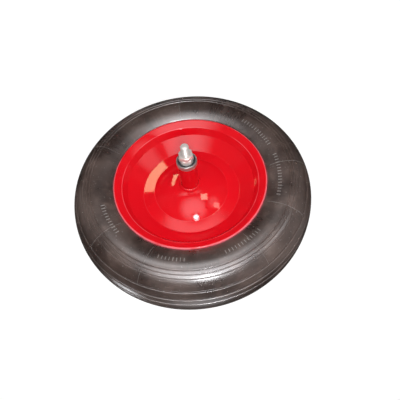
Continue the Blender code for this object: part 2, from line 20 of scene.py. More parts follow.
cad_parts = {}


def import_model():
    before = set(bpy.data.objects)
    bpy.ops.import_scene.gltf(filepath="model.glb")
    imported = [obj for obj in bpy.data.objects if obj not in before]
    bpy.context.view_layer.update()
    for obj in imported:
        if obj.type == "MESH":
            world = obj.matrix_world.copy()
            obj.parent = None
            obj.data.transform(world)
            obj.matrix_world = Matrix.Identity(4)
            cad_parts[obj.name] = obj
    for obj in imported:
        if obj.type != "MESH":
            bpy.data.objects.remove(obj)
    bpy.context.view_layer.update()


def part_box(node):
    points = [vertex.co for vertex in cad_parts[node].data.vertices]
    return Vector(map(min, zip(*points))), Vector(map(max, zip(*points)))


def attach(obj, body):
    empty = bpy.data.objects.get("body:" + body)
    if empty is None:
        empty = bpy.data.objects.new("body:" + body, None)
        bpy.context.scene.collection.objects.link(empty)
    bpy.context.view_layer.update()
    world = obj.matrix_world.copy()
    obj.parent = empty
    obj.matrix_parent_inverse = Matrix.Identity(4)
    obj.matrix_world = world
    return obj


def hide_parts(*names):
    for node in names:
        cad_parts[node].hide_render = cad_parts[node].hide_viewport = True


LOG = logging.getLogger("wheel")
Point = tuple[float, float]
Outline = list[Point]
Colour = tuple[float, float, float]
Piece = bpy.types.Object
Material = bpy.types.Material
Mark = tuple[str, bmesh.types.BMesh, list[float]]
MERGE_DISTANCE = 0.000002


class Side(Enum):
    """The two faces of the wheel, as the sign of their direction along Y."""

    FRONT = -1
    REAR = 1

    @property
    def label(self) -> str:
        """The word that this side's nodes start with."""
        return self.name.lower()


class Shading(Enum):
    """How a piece's corners are drawn, as the angle in degrees above which an edge is sharp."""

    SOFT = 60.0
    PRESSED = 40.0
    MACHINED = 25.0


# Lines in the (radius, height) plane


def arc(centre: Point, radius: float, first: float, last: float, count: int) -> Outline:
    """Points on an arc.

    Args:
        centre: the arc's centre.
        radius: its radius.
        first: the first point's angle from the radius axis, in degrees.
        last: the last point's angle.
        count: how many points.

    Returns:
        The points in order.
    """
    points = []
    for i in range(count):
        angle = math.radians(first + (last - first) * i / (count - 1))
        points.append((centre[0] + radius * math.cos(angle), centre[1] + radius * math.sin(angle)))
    return points


def sideways(path: Outline, distance: float) -> Outline:
    """The open path moved to its left.

    Args:
        path: the points of the path.
        distance: how far, or a negative number for the right.

    Returns:
        As many points, with mitred corners.
    """
    steps = [(Vector(b) - Vector(a)).normalized() for a, b in zip(path, path[1:])]
    moved = []
    for i, (r, h) in enumerate(path):
        before = steps[max(i - 1, 0)]
        after = steps[min(i, len(steps) - 1)]
        normal = Vector((-before.y - after.y, before.x + after.x)).normalized()
        lean = normal.x * -after.y + normal.y * after.x
        moved.append((r + normal.x * distance / lean, h + normal.y * distance / lean))
    return moved


def rounded(path: Outline, radius: float, count: int = 6) -> Outline:
    """The open path with an arc in place of each corner.

    Args:
        path: the points of the path.
        radius: the arcs' radius, made smaller where a corner has no room for it.
        count: points in each arc.

    Returns:
        The rounded path.
    """
    points = [path[0]]
    for a, b, c in zip(path, path[1:], path[2:]):
        corner = Vector(b)
        back = Vector(a) - corner
        ahead = Vector(c) - corner
        half = back.angle(ahead) / 2
        room = 0.48 * min(back.length, ahead.length)
        reach = min(radius / math.tan(half), room)
        nearly_straight = math.pi - 2 * half < 0.12
        if nearly_straight:
            points.append(b)
            continue
        start = corner + back.normalized() * reach
        end = corner + ahead.normalized() * reach
        for i in range(count):
            t = i / (count - 1)
            place = start * (1 - t) ** 2 + corner * 2 * t * (1 - t) + end * t * t
            points.append((place.x, place.y))
    points.append(path[-1])
    return points


def sheet(path: Outline, thickness: float) -> Outline:
    """The closed outline of a sheet whose right-hand face follows the path."""
    return path + sideways(path, thickness)[::-1]


# Node trees


class Flow:
    """A socket that takes part in arithmetic, adding the Math nodes that it needs."""

    def __init__(self, graph: Graph, socket: bpy.types.NodeSocket) -> None:
        """Wraps a socket of that graph."""
        self.graph = graph
        self.socket = socket

    def math(self, operation: str, *others: Flow | float) -> Flow:
        """Adds a Math node.

        Args:
            operation: what it does.
            others: its values after this one, in order.

        Returns:
            Its result.
        """
        settings = {"operation": operation}
        inputs = dict(enumerate((self, *others)))
        return self.graph.add("ShaderNodeMath", inputs, settings).out(0)

    def __add__(self, other: Flow | float) -> Flow:
        """This value plus another."""
        return self.math("ADD", other)

    __radd__ = __add__

    def __mul__(self, other: Flow | float) -> Flow:
        """This value times another."""
        return self.math("MULTIPLY", other)

    __rmul__ = __mul__

    def __rtruediv__(self, other: float) -> Flow:
        """A number divided by this value."""
        return self.math("POWER", -1.0) * other

    def __sub__(self, other: Flow | float) -> Flow:
        """This value minus another."""
        return self.math("SUBTRACT", other)

    def __rsub__(self, other: float) -> Flow:
        """A number minus this value."""
        return self * -1.0 + other

    def __truediv__(self, other: Flow | float) -> Flow:
        """This value divided by another."""
        return self.math("DIVIDE", other)

    def __abs__(self) -> Flow:
        """The size of this value."""
        return self.math("ABSOLUTE")

    def band(self, centre: float, half_width: float) -> Flow:
        """1 where the value is at the centre, falling to 0 at the half width from it."""
        away = abs(self - centre) / half_width
        return (1.0 - away).math("MAXIMUM", 0.0)

    def ramp(self, low: float, high: float) -> Flow:
        """Turns the value into a share.

        Args:
            low: where the share is 0.
            high: where it is 1.

        Returns:
            The share, smooth between them.
        """
        inputs = {"Value": self, "From Min": low, "From Max": high}
        settings = {"interpolation_type": "SMOOTHSTEP"}
        return self.graph.add("ShaderNodeMapRange", inputs, settings).out(0)


class Step:
    """A node that has been added to a graph."""

    def __init__(self, graph: Graph, node: bpy.types.Node) -> None:
        """Wraps a node of that graph."""
        self.graph = graph
        self.node = node

    def out(self, key: str | int = 0) -> Flow:
        """One of the node's outputs."""
        return Flow(self.graph, self.node.outputs[key])


class Graph:
    """A node tree that is written as calls."""

    def __init__(self, tree: bpy.types.NodeTree) -> None:
        """Takes the tree that the nodes go into."""
        self.tree = tree

    def add(
        self, kind: str, inputs: dict[str | int, Any] | None = None, settings: dict[str, Any] | None = None
    ) -> Step:
        """Adds one node.

        Args:
            kind: the node's type.
            inputs: socket name or number, and its value or the Flow that feeds it.
            settings: properties of the node, which are set first.

        Returns:
            The node, wrapped.
        """
        node = self.tree.nodes.new(kind)
        for name, value in (settings or {}).items():
            setattr(node, name, value)
        for key, value in (inputs or {}).items():
            if isinstance(value, Flow):
                self.tree.links.new(value.socket, node.inputs[key])
            else:
                node.inputs[key].default_value = value
        return Step(self, node)

    def mix(self, share: Flow, first: Flow | Colour, second: Flow | Colour) -> Flow:
        """Adds a node that mixes two colours.

        Args:
            share: how much of the second colour there is, from 0 to 1.
            first: the colour where the share is 0.
            second: the colour where it is 1.

        Returns:
            The mixed colour.
        """
        inputs: dict[str | int, Any] = {0: share}
        for key, colour in ((6, first), (7, second)):
            inputs[key] = colour if isinstance(colour, Flow) else (*colour, 1.0)
        return self.add("ShaderNodeMix", inputs, {"data_type": "RGBA", "clamp_factor": True}).out(2)


def new_material(name: str) -> tuple[Material, Graph]:
    """Makes a material.

    Args:
        name: its name.

    Returns:
        The material, and its tree without any node.
    """
    made = bpy.data.materials.new(name)
    made.use_nodes = True
    made.node_tree.nodes.clear()
    return made, Graph(made.node_tree)


def new_mesh_tree(name: str, inputs: dict[str, str]) -> bpy.types.NodeTree:
    """Makes an empty tree for meshes.

    Args:
        name: its name.
        inputs: names of its inputs after the mesh, and the type of each.

    Returns:
        The tree, which takes a mesh and gives one.
    """
    tree = bpy.data.node_groups.new(name, "GeometryNodeTree")
    for label, kind in {"Geometry": "Geometry", **inputs}.items():
        tree.interface.new_socket(label, in_out="INPUT", socket_type="NodeSocket" + kind)
    tree.interface.new_socket("Geometry", in_out="OUTPUT", socket_type="NodeSocketGeometry")
    return tree


# Finishes


@dataclass(frozen=True)
class Finish:
    """A surface: its colour, gloss and the small unevenness that every finish here has.

    Attributes:
        slot: the record's slot.
        colour: base colour as linear red, green and blue.
        roughness: the mean roughness.
        metallic: 1 for bare metal.
        specular: strength of the reflection of a surface that isn't metal, 0.5 being usual.
        coat: weight of a clear gloss over it.
        coat_roughness: roughness of that gloss.
        coat_ior: refractive index of that gloss.
    """

    slot: str
    colour: Colour
    roughness: float
    metallic: float = 0.0
    specular: float = 0.5
    coat: float = 0.0
    coat_roughness: float = 0.1
    coat_ior: float = 1.5

    def material(self, name: str) -> Material:
        """Makes a material with this finish.

        Args:
            name: its name.

        Returns:
            The material.
        """
        made, graph = new_material(name)
        place = graph.add("ShaderNodeTexCoord").out("Object")
        split = graph.add("ShaderNodeSeparateXYZ", {0: place})
        across, along, up = (split.out(axis) for axis in "XYZ")
        radius = (across * across + up * up).math("SQRT")
        even = {
            "Metallic": self.metallic,
            "Specular IOR Level": self.specular,
            "Coat Weight": self.coat,
            "Coat Roughness": self.coat_roughness,
            "Coat IOR": self.coat_ior,
        }
        shader = graph.add("ShaderNodeBsdfPrincipled", even)
        self.dress(graph, shader, place, radius, along)
        graph.add("ShaderNodeOutputMaterial", {"Surface": shader.out("BSDF")})
        return made

    def dress(self, graph: Graph, shader: Step, place: Flow, radius: Flow, along: Flow) -> None:
        """Feeds the shader. Each finish has its own.

        Args:
            graph: the material's tree.
            shader: the Principled node.
            place: Object coordinates.
            radius: distance from the axle.
            along: distance along the axle.
        """
        raise NotImplementedError

    @staticmethod
    def noise(graph: Graph, place: Flow, scale: float, detail: float = 3.0) -> Flow:
        """Noise from 0 to 1 in space, with that many swells to a metre."""
        inputs = {"Vector": place, "Scale": scale, "Detail": detail}
        return graph.add("ShaderNodeTexNoise", inputs).out(0)

    @staticmethod
    def rings(graph: Graph, radius: Flow, along: Flow, scale: float, detail: float) -> Flow:
        """Makes noise that is the same all round the axle, as turning or moulding leaves it.

        Args:
            graph: the material's tree.
            radius: distance from the axle.
            along: distance along the axle.
            scale: swells to a metre.
            detail: how much finer noise it has in it.

        Returns:
            The noise, from 0 to 1.
        """
        place = graph.add("ShaderNodeCombineXYZ", {0: radius * scale, 1: along * scale, 2: 0.0}).out(0)
        inputs = {"Vector": place, "Scale": 1.0, "Detail": detail}
        return graph.add("ShaderNodeTexNoise", inputs, {"noise_dimensions": "2D"}).out(0)

    @staticmethod
    def feed(graph: Graph, shader: Step, colour: Flow, roughness: Flow, height: Flow, depth: float) -> None:
        """Links what changes over the surface to the shader.

        Args:
            graph: the material's tree.
            shader: the Principled node.
            colour: the base colour.
            roughness: the roughness.
            height: height of the bumps, from 0 to about 1.
            depth: depth of the bumps in metres.
        """
        graph.tree.links.new(colour.socket, shader.node.inputs["Base Color"])
        graph.tree.links.new(roughness.socket, shader.node.inputs["Roughness"])
        inputs = {"Height": height, "Distance": depth, "Strength": 1.0}
        bump = graph.add("ShaderNodeBump", inputs).out("Normal")
        graph.tree.links.new(bump.socket, shader.node.inputs["Normal"])


@dataclass(frozen=True)
class GlossyPaint(Finish):
    """Gloss paint on pressed steel: orange peel, faint clouds, scuffs, a pale lip edge that is partly worn
    paint and partly painted highlight, and painted highlights along the folds.

    Attributes:
        crests: radius, half width and paleness of each fold, painted pale as a highlight, with some paint
            worn thin.
        edge: radius of the rolled edge, whose pale band is partly worn paint and partly a painted highlight.
        edge_start: how far inside it the pale band starts.
        edge_full: how far inside it the pale band is full.
        dusk: the colour of the clouds.
        pale: the colour of scuffed paint, and of the painted highlights on the lip and the folds.
        bump: depth of the orange peel in metres.
    """

    crests: tuple[tuple[float, float, float], ...] = ()
    edge: float = 0.117
    edge_start: float = 0.0026
    edge_full: float = 0.0008
    dusk: Colour = (0.30, 0.002, 0.006)
    pale: Colour = (0.86, 0.22, 0.26)
    bump: float = 0.00012

    def dress(self, graph: Graph, shader: Step, place: Flow, radius: Flow, along: Flow) -> None:
        """Feeds the shader with paint. See Finish.dress."""
        cloud = self.noise(graph, place, 22.0)
        peel = self.noise(graph, place, 520.0, 1.0)
        sag = self.noise(graph, place, 60.0, 1.0)
        speck = self.noise(graph, place, 900.0, 2.0)
        shade = cloud.ramp(0.62, 0.75) * 0.12
        # Pale band at the lip: partly worn paint, partly a painted highlight along the rolled edge.
        worn_and_highlit = radius.ramp(self.edge - self.edge_start, self.edge - self.edge_full) * cloud.ramp(0.30, 0.50)
        # Pale lines along the folds: painted highlights, with some paint worn thin.
        for crest, half, share in self.crests:
            worn_and_highlit = worn_and_highlit + radius.band(crest, half) * cloud.ramp(0.30, 0.60) * share
        # Speckled scuffs are real wear; the lip band and fold lines in this mix are painted highlight.
        scuff_and_highlight = speck.ramp(0.69, 0.73) * cloud.ramp(0.5, 0.62) * 0.35 + worn_and_highlit * 0.75
        colour = graph.mix(scuff_and_highlight, graph.mix(shade, self.colour, self.dusk), self.pale)
        roughness = cloud * 0.10 + scuff_and_highlight * 0.4 + (self.roughness - 0.05)
        self.feed(graph, shader, colour, roughness, peel * 0.25 + sag, self.bump)


@dataclass(frozen=True)
class MouldedRubber(Finish):
    """Black rubber out of a mould: fine grain, faint rings, bloom in patches and dust in the grooves.

    Attributes:
        bloom: the colour of dusty or bloomed rubber.
        speck: the colour of grit on it.
        grooves: radii and half widths of the rings where dust lies.
        bump: depth of its unevenness in metres.
    """

    bloom: Colour = (0.128, 0.080, 0.064)
    speck: Colour = (0.32, 0.30, 0.28)
    grooves: tuple[tuple[float, float], ...] = ()
    bump: float = 0.0002

    def dress(self, graph: Graph, shader: Step, place: Flow, radius: Flow, along: Flow) -> None:
        """Feeds the shader with rubber. See Finish.dress."""
        patch = self.noise(graph, place, 16.0, 3.5)
        blotch = self.noise(graph, place, 75.0, 1.5)
        grain = self.noise(graph, place, 1500.0, 2.0)
        speck = self.noise(graph, place, 420.0, 1.0)
        rings = self.rings(graph, radius, along, 900.0, 1.0)
        inputs = {0: place, "Scale": 1.0 / radius}
        direction = graph.add("ShaderNodeVectorMath", inputs, {"operation": "SCALE"}).out(0)
        spokes = self.noise(graph, direction, 40.0, 1.0)
        dust = patch.ramp(0.40, 0.70) * 0.7 + blotch.ramp(0.5, 0.75) * 0.4 + spokes.ramp(0.55, 0.75) * 0.2
        for centre, half in self.grooves:
            dust = dust + radius.band(centre, half) * 0.3
        dots = speck.ramp(0.70, 0.76) * patch.ramp(0.35, 0.55) * 0.5
        colour = graph.mix(dots, graph.mix(dust, self.colour, self.bloom), self.speck)
        roughness = patch.ramp(0.35, 0.7) * 0.18 + blotch * 0.14 + spokes * 0.12 + (self.roughness - 0.20)
        height = grain * 0.03 + rings * 0.2 + blotch * 1.3 + spokes * 0.5
        self.feed(graph, shader, colour, roughness, height, self.bump)


@dataclass(frozen=True)
class BareMetal(Finish):
    """Plated or plain metal with tool marks round it, stains and handling marks.

    Attributes:
        stain: the colour of its stains.
        tool_marks: depth of the turning marks in metres.
        stained: how much of it is stained, from 0 to 1.
    """

    stain: Colour = (0.30, 0.24, 0.18)
    tool_marks: float = 0.00003
    stained: float = 0.25

    def dress(self, graph: Graph, shader: Step, place: Flow, radius: Flow, along: Flow) -> None:
        """Feeds the shader with metal. See Finish.dress."""
        cloud = self.noise(graph, place, 180.0, 4.0)
        fine = self.noise(graph, place, 1400.0, 2.0)
        marks = self.rings(graph, radius, along, 4000.0, 2.0)
        dirt = cloud.ramp(0.52, 0.78) * self.stained
        colour = graph.mix(dirt, self.colour, self.stain)
        roughness = cloud * 0.14 + fine * 0.06 + (self.roughness - 0.08) + dirt * 0.2
        self.feed(graph, shader, colour, roughness, marks + fine * 0.5, self.tool_marks)


@dataclass(frozen=True)
class MouldedPlastic(Finish):
    """Plain moulded plastic with a fine grain.

    Attributes:
        worn: the colour of worn plastic.
        bump: depth of its grain in metres.
    """

    worn: Colour = (0.06, 0.06, 0.06)
    bump: float = 0.00004

    def dress(self, graph: Graph, shader: Step, place: Flow, radius: Flow, along: Flow) -> None:
        """Feeds the shader with plastic. See Finish.dress."""
        cloud = self.noise(graph, place, 300.0)
        grain = self.noise(graph, place, 2500.0, 1.0)
        colour = graph.mix(cloud.ramp(0.5, 0.8) * 0.5, self.colour, self.worn)
        self.feed(graph, shader, colour, cloud * 0.15 + (self.roughness - 0.07), grain, self.bump)


# Tools that make meshes


@dataclass(frozen=True)
class Thread:
    """A screw thread on a turned rod.

    Attributes:
        radius: outer radius.
        depth: how deep the thread is.
        pitch: from crest to crest.
        start: distance from the wheel's middle plane beyond which the rod is threaded.
    """

    radius: float
    depth: float
    pitch: float
    start: float


@dataclass(frozen=True)
class Ripple:
    """Even swells round a turned piece, such as a weld's scales or a cap's grip.

    Attributes:
        depth: how far the swells stand out.
        count: how many there are in a turn.
    """

    depth: float
    count: int


class TurningTree:
    """The node tree that turns a section's points round the Y axis into a closed skin."""

    def __init__(self) -> None:
        """Builds the tree."""
        counts = ("Segments", "Closed", "Ripple Count")
        sizes = ("Thread Radius", "Thread Depth", "Thread Pitch", "Thread Start", "Ripple Depth")
        inputs = dict.fromkeys(counts, "Int") | dict.fromkeys(sizes, "Float") | {"Material": "Material"}
        self.tree = new_mesh_tree("turn_section", inputs)
        self._fill(Graph(self.tree))

    @staticmethod
    def _fill(graph: Graph) -> None:
        """Adds the nodes, which bend a grid of one row for each point.

        Args:
            graph: the tree that they go into.
        """
        given = graph.add("NodeGroupInput")
        section = given.out("Geometry")
        segments = given.out("Segments")
        count = graph.add("GeometryNodeAttributeDomainSize", {0: section}).out("Point Count")
        rows = count + given.out("Closed") - 1.0
        sizes = {"Size X": segments, "Size Y": rows, "Vertices X": segments + 1.0, "Vertices Y": rows + 1.0}
        grid = graph.add("GeometryNodeMeshGrid", sizes).out("Mesh")
        spot = graph.add("GeometryNodeInputPosition").out(0)
        cell = graph.add("ShaderNodeSeparateXYZ", {0: spot})
        column = (cell.out("X") + segments / 2.0).math("ROUND")
        row = (cell.out("Y") + rows / 2.0).math("ROUND").math("MODULO", count)
        inputs = {"Geometry": section, "Value": spot, "Index": row}
        found = graph.add("GeometryNodeSampleIndex", inputs, {"data_type": "FLOAT_VECTOR"}).out(0)
        point = graph.add("ShaderNodeSeparateXYZ", {0: found})
        swell = graph.add("GeometryNodeInputNamedAttribute", {"Name": "swell"}).out("Attribute")
        inputs = {"Geometry": section, "Value": swell, "Index": row}
        share = graph.add("GeometryNodeSampleIndex", inputs, {"data_type": "FLOAT"}).out(0)
        turn = column / segments
        angle = turn * (2 * math.pi)
        height = point.out("Y")
        crest = ((height / given.out("Thread Pitch") + turn).math("FRACT") * 2.0 - 1.0).math("ABSOLUTE")
        threaded = abs(height).math("GREATER_THAN", given.out("Thread Start"))
        limit = given.out("Thread Radius") - crest * given.out("Thread Depth") * threaded
        wave = abs((angle * given.out("Ripple Count") / 2.0).math("SINE"))
        swelling = wave * given.out("Ripple Depth") * share
        radius = point.out("X").math("MINIMUM", limit) + swelling
        outwards = height + height.math("SIGN") * swelling
        place = {0: radius * angle.math("SINE"), 1: outwards, 2: radius * angle.math("COSINE")}
        moved = graph.add("ShaderNodeCombineXYZ", place).out(0)
        skin = graph.add("GeometryNodeSetPosition", {"Geometry": grid, "Position": moved}).out(0)
        skin = graph.add("GeometryNodeMergeByDistance", {"Geometry": skin, "Distance": MERGE_DISTANCE}).out(0)
        skin = graph.add("GeometryNodeRealizeInstances", {0: skin}).out(0)
        inputs = {"Geometry": skin, "Material": given.out("Material")}
        skin = graph.add("GeometryNodeSetMaterial", inputs).out(0)
        graph.add("NodeGroupOutput", {0: skin})


class CopyingTree:
    """The node tree that sets a unit round the axle once for each point that it is given."""

    def __init__(self) -> None:
        """Builds the tree."""
        self.tree = new_mesh_tree("copy_round_axle", {"Unit": "Object", "Material": "Material"})
        graph = Graph(self.tree)
        given = graph.add("NodeGroupInput")
        unit = graph.add("GeometryNodeObjectInfo", {"Object": given.out("Unit")}).out("Geometry")
        turn = graph.add("GeometryNodeInputNamedAttribute", {"Name": "turn"}).out("Attribute")
        rotation = graph.add("ShaderNodeCombineXYZ", {1: turn}).out(0)
        inputs = {"Points": given.out("Geometry"), "Instance": unit, "Rotation": rotation}
        copies = graph.add("GeometryNodeInstanceOnPoints", inputs).out(0)
        copies = graph.add("GeometryNodeRealizeInstances", {0: copies}).out(0)
        inputs = {"Geometry": copies, "Material": given.out("Material")}
        copies = graph.add("GeometryNodeSetMaterial", inputs).out(0)
        graph.add("NodeGroupOutput", {0: copies})


class HexRow(Enum):
    """What a row of points does on a piece that is partly a hexagon."""

    ROUND = "round"
    FACE = "face"
    UPPER_EDGE = "upper edge"
    LOWER_EDGE = "lower edge"
    SIDE = "side"


Row = tuple[HexRow, float, float]


@dataclass
class Workshop:
    """Makes meshes and hands finished pieces to the frame.

    Attributes:
        turning: the tree for turned pieces.
        copying: the tree for what repeats.
        pieces: how many pieces have been handed over.
    """

    turning: TurningTree = field(default_factory=TurningTree)
    copying: CopyingTree = field(default_factory=CopyingTree)
    pieces: int = 0

    @staticmethod
    def _object(name: str, mesh: bpy.types.Mesh) -> Piece:
        """Makes an object at the origin.

        Args:
            name: its name.
            mesh: its mesh.

        Returns:
            The object.
        """
        made = bpy.data.objects.new(name, mesh)
        bpy.context.scene.collection.objects.link(made)
        return made

    @staticmethod
    def _set_inputs(modifier: bpy.types.Modifier, values: dict[str, Any]) -> None:
        """Sets a node modifier's inputs.

        Args:
            modifier: the modifier.
            values: its values, by the names that its tree shows.
        """
        for item in modifier.node_group.interface.items_tree:
            if item.item_type == "SOCKET" and item.in_out == "INPUT" and item.name in values:
                modifier[item.identifier] = values[item.name]

    @staticmethod
    def _shade(mesh: bpy.types.Mesh, shading: Shading) -> None:
        """Turns the faces outwards and marks the sharp edges.

        Args:
            mesh: the mesh.
            shading: how its corners are drawn.
        """
        shape = bmesh.new()
        shape.from_mesh(mesh)
        if shape.calc_volume(signed=True) < 0:
            bmesh.ops.reverse_faces(shape, faces=shape.faces)
        shape.to_mesh(mesh)
        shape.free()
        mesh.shade_smooth()
        mesh.set_sharp_from_angle(angle=math.radians(shading.value))

    def _apply(self, piece: Piece, shading: Shading) -> None:
        """Puts the result of the object's modifiers in its mesh.

        Args:
            piece: the object.
            shading: how its corners are drawn.
        """
        bpy.context.view_layer.update()
        graph = bpy.context.evaluated_depsgraph_get()
        mesh = bpy.data.meshes.new_from_object(piece.evaluated_get(graph))
        piece.modifiers.clear()
        old = piece.data
        piece.data = mesh
        bpy.data.meshes.remove(old)
        mesh.name = piece.name
        self._shade(mesh, shading)

    def turned(
        self,
        name: str,
        outline: Outline,
        material: Material,
        side: Side = Side.REAR,
        segments: int = 96,
        closed: bool = True,
        shading: Shading = Shading.PRESSED,
        thread: Thread | None = None,
        ripple: Ripple | None = None,
        swells: list[float] | None = None,
        centre: Vector | None = None,
    ) -> Piece:
        """Turns an outline round the axle.

        Args:
            name: the piece's name.
            outline: (radius, height) points, closed unless both ends are on the axle.
            material: its material.
            side: the side that heights run out of.
            segments: flats in a turn.
            closed: whether the last point joins the first.
            shading: how corners are drawn.
            thread: a thread, if it has one.
            ripple: swells, if it has them.
            swells: the share of the swells that each point of the outline takes.
            centre: where its own axis lies, if that isn't the wheel's axle.

        Returns:
            The piece as a plain mesh.
        """
        mesh = bpy.data.meshes.new(name)
        mesh.from_pydata([(r, side.value * h, 0.0) for r, h in outline], [], [])
        shares = mesh.attributes.new("swell", "FLOAT", "POINT")
        shares.data.foreach_set("value", swells or [0.0] * len(outline))
        piece = self._object(name, mesh)
        modifier = piece.modifiers.new("turn", "NODES")
        modifier.node_group = self.turning.tree
        thread = thread or Thread(radius=1.0, depth=0.0, pitch=1.0, start=0.0)
        ripple = ripple or Ripple(depth=0.0, count=1)
        values = {
            "Segments": segments,
            "Closed": int(closed),
            "Ripple Count": ripple.count,
            "Thread Radius": thread.radius,
            "Thread Depth": thread.depth,
            "Thread Pitch": thread.pitch,
            "Thread Start": thread.start,
            "Ripple Depth": ripple.depth,
            "Material": material,
        }
        self._set_inputs(modifier, values)
        self._apply(piece, shading)
        if centre:
            piece.data.transform(Matrix.Translation(centre))
        return piece

    def copied(
        self,
        name: str,
        unit: bmesh.types.BMesh,
        turns: list[float],
        material: Material,
        shading: Shading = Shading.PRESSED,
    ) -> Piece:
        """Sets copies of a unit round the axle.

        Args:
            name: the piece's name.
            unit: the shape, where it stands at the top of the wheel.
            turns: angle of each copy about +Y from there, in degrees.
            material: its material.
            shading: how corners are drawn.

        Returns:
            The piece as a plain mesh.
        """
        unit_mesh = bpy.data.meshes.new(name + "_unit")
        unit.to_mesh(unit_mesh)
        unit.free()
        unit_object = self._object(name + "_unit", unit_mesh)
        mesh = bpy.data.meshes.new(name)
        mesh.from_pydata([(0.0, 0.0, 0.0)] * len(turns), [], [])
        angles = mesh.attributes.new("turn", "FLOAT", "POINT")
        angles.data.foreach_set("value", [math.radians(turn) for turn in turns])
        piece = self._object(name, mesh)
        modifier = piece.modifiers.new("copies", "NODES")
        modifier.node_group = self.copying.tree
        self._set_inputs(modifier, {"Unit": unit_object, "Material": material})
        self._apply(piece, shading)
        bpy.data.objects.remove(unit_object)
        bpy.data.meshes.remove(unit_mesh)
        return piece

    def skinned(
        self,
        name: str,
        rings: list[list[Vector]],
        material: Material,
        closed: bool = False,
        shading: Shading = Shading.MACHINED,
    ) -> Piece:
        """Joins rings of points into a skin.

        Args:
            name: the piece's name.
            rings: the rings in order, each with as many points. One whose points all meet closes an end.
            material: its material.
            closed: whether the last ring joins the first.
            shading: how corners are drawn.

        Returns:
            The piece.
        """
        shape = bmesh.new()
        corners = [[shape.verts.new(point) for point in ring] for ring in rings]
        pairs = list(zip(corners, corners[1:] + (corners[:1] if closed else [])))
        for lower, upper in pairs:
            for i in range(len(lower)):
                j = (i + 1) % len(lower)
                shape.faces.new((lower[i], lower[j], upper[j], upper[i]))
        bmesh.ops.remove_doubles(shape, verts=shape.verts, dist=MERGE_DISTANCE)
        mesh = bpy.data.meshes.new(name)
        shape.to_mesh(mesh)
        shape.free()
        mesh.materials.append(material)
        self._shade(mesh, shading)
        return self._object(name, mesh)

    def hexagonal(
        self,
        name: str,
        across: float,
        rows: list[Row],
        material: Material,
        side: Side,
        turn: float,
        pose: Matrix | None = None,
    ) -> Piece:
        """Makes a nut, or a piece with a hexagon on it.

        Args:
            name: the piece's name.
            across: size across the flats.
            rows: rows of points from the bore round the outside and back, each with a radius and a height.
            material: its material.
            side: the side that heights run out of.
            turn: angle of the first corner from +Z about +Y, in degrees.
            pose: where the nut goes, if it isn't on the axle.

        Returns:
            The piece.
        """
        half = across / 2
        corner = half / math.cos(math.pi / 6)
        face = half * 0.96
        chamfer = math.tan(math.radians(30))
        steps = (0.0, 1.0, 3.0, 7.0, 14.0, 22.0, 30.0, 38.0, 46.0, 53.0, 57.0, 59.0)
        edge = 0.00022
        rings = []
        for kind, radius, height in rows:
            ring = []
            for i in range(6):
                for step in steps:
                    reach = min(half / math.cos(math.radians(step - 30)), corner - edge * 0.6)
                    drop = max(edge, (reach - face) * chamfer)
                    r, h = radius, height
                    if kind is HexRow.FACE:
                        r = min(reach - edge, face)
                    elif kind is not HexRow.ROUND:
                        r = reach
                        h += {HexRow.UPPER_EDGE: -drop, HexRow.LOWER_EDGE: drop}.get(kind, 0.0)
                    angle = math.radians(turn + 60 * i + step)
                    ring.append(Vector((r * math.sin(angle), side.value * h, r * math.cos(angle))))
            rings.append(ring)
        piece = self.skinned(name, rings, material, closed=True)
        if pose:
            piece.data.transform(pose)
        return piece

    def carve(self, piece: Piece, cutter: Piece) -> None:
        """Takes the cutter's shape out of the piece, and removes the cutter.

        Args:
            piece: the piece.
            cutter: the shape that is taken out.
        """
        boolean = piece.modifiers.new("carve", "BOOLEAN")
        boolean.operation = "DIFFERENCE"
        boolean.solver = "EXACT"
        boolean.object = cutter
        self._apply(piece, Shading.PRESSED)
        mesh = cutter.data
        bpy.data.objects.remove(cutter)
        bpy.data.meshes.remove(mesh)

    def drill_valve_hole(self, piece: Piece, sizes: WheelSizes) -> None:
        """Makes the hole for the valve at the bottom of the wheel.

        Args:
            piece: the piece that the valve goes through.
            sizes: the wheel's shared sizes.
        """
        radius = sizes.stem_radius + sizes.gap
        start, end = 0.08, 0.14
        corners = 32
        angles = [2 * math.pi * i / corners for i in range(corners)]
        rings = []
        for reach, depth in ((0.0, start), (radius, start), (radius, end), (0.0, end)):
            rings.append([Vector((reach * math.cos(a), reach * math.sin(a), -depth)) for a in angles])
        self.carve(piece, self.skinned("valve_drill", rings, piece.data.materials[0]))

    def hand_over(self, piece: Piece, body: str, slot: str, *nodes: str) -> None:
        """Gives a finished piece to the frame.

        Args:
            piece: the piece.
            body: the body that it moves with.
            slot: not used.
            nodes: the solids that it stands for.
        """
        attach(piece, body)
        if nodes:
            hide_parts(*nodes)
        self.pieces += 1
        LOG.info("%s: %d faces, on %s", piece.name, len(piece.data.polygons), body)


# Sizes that the sub-assemblies share


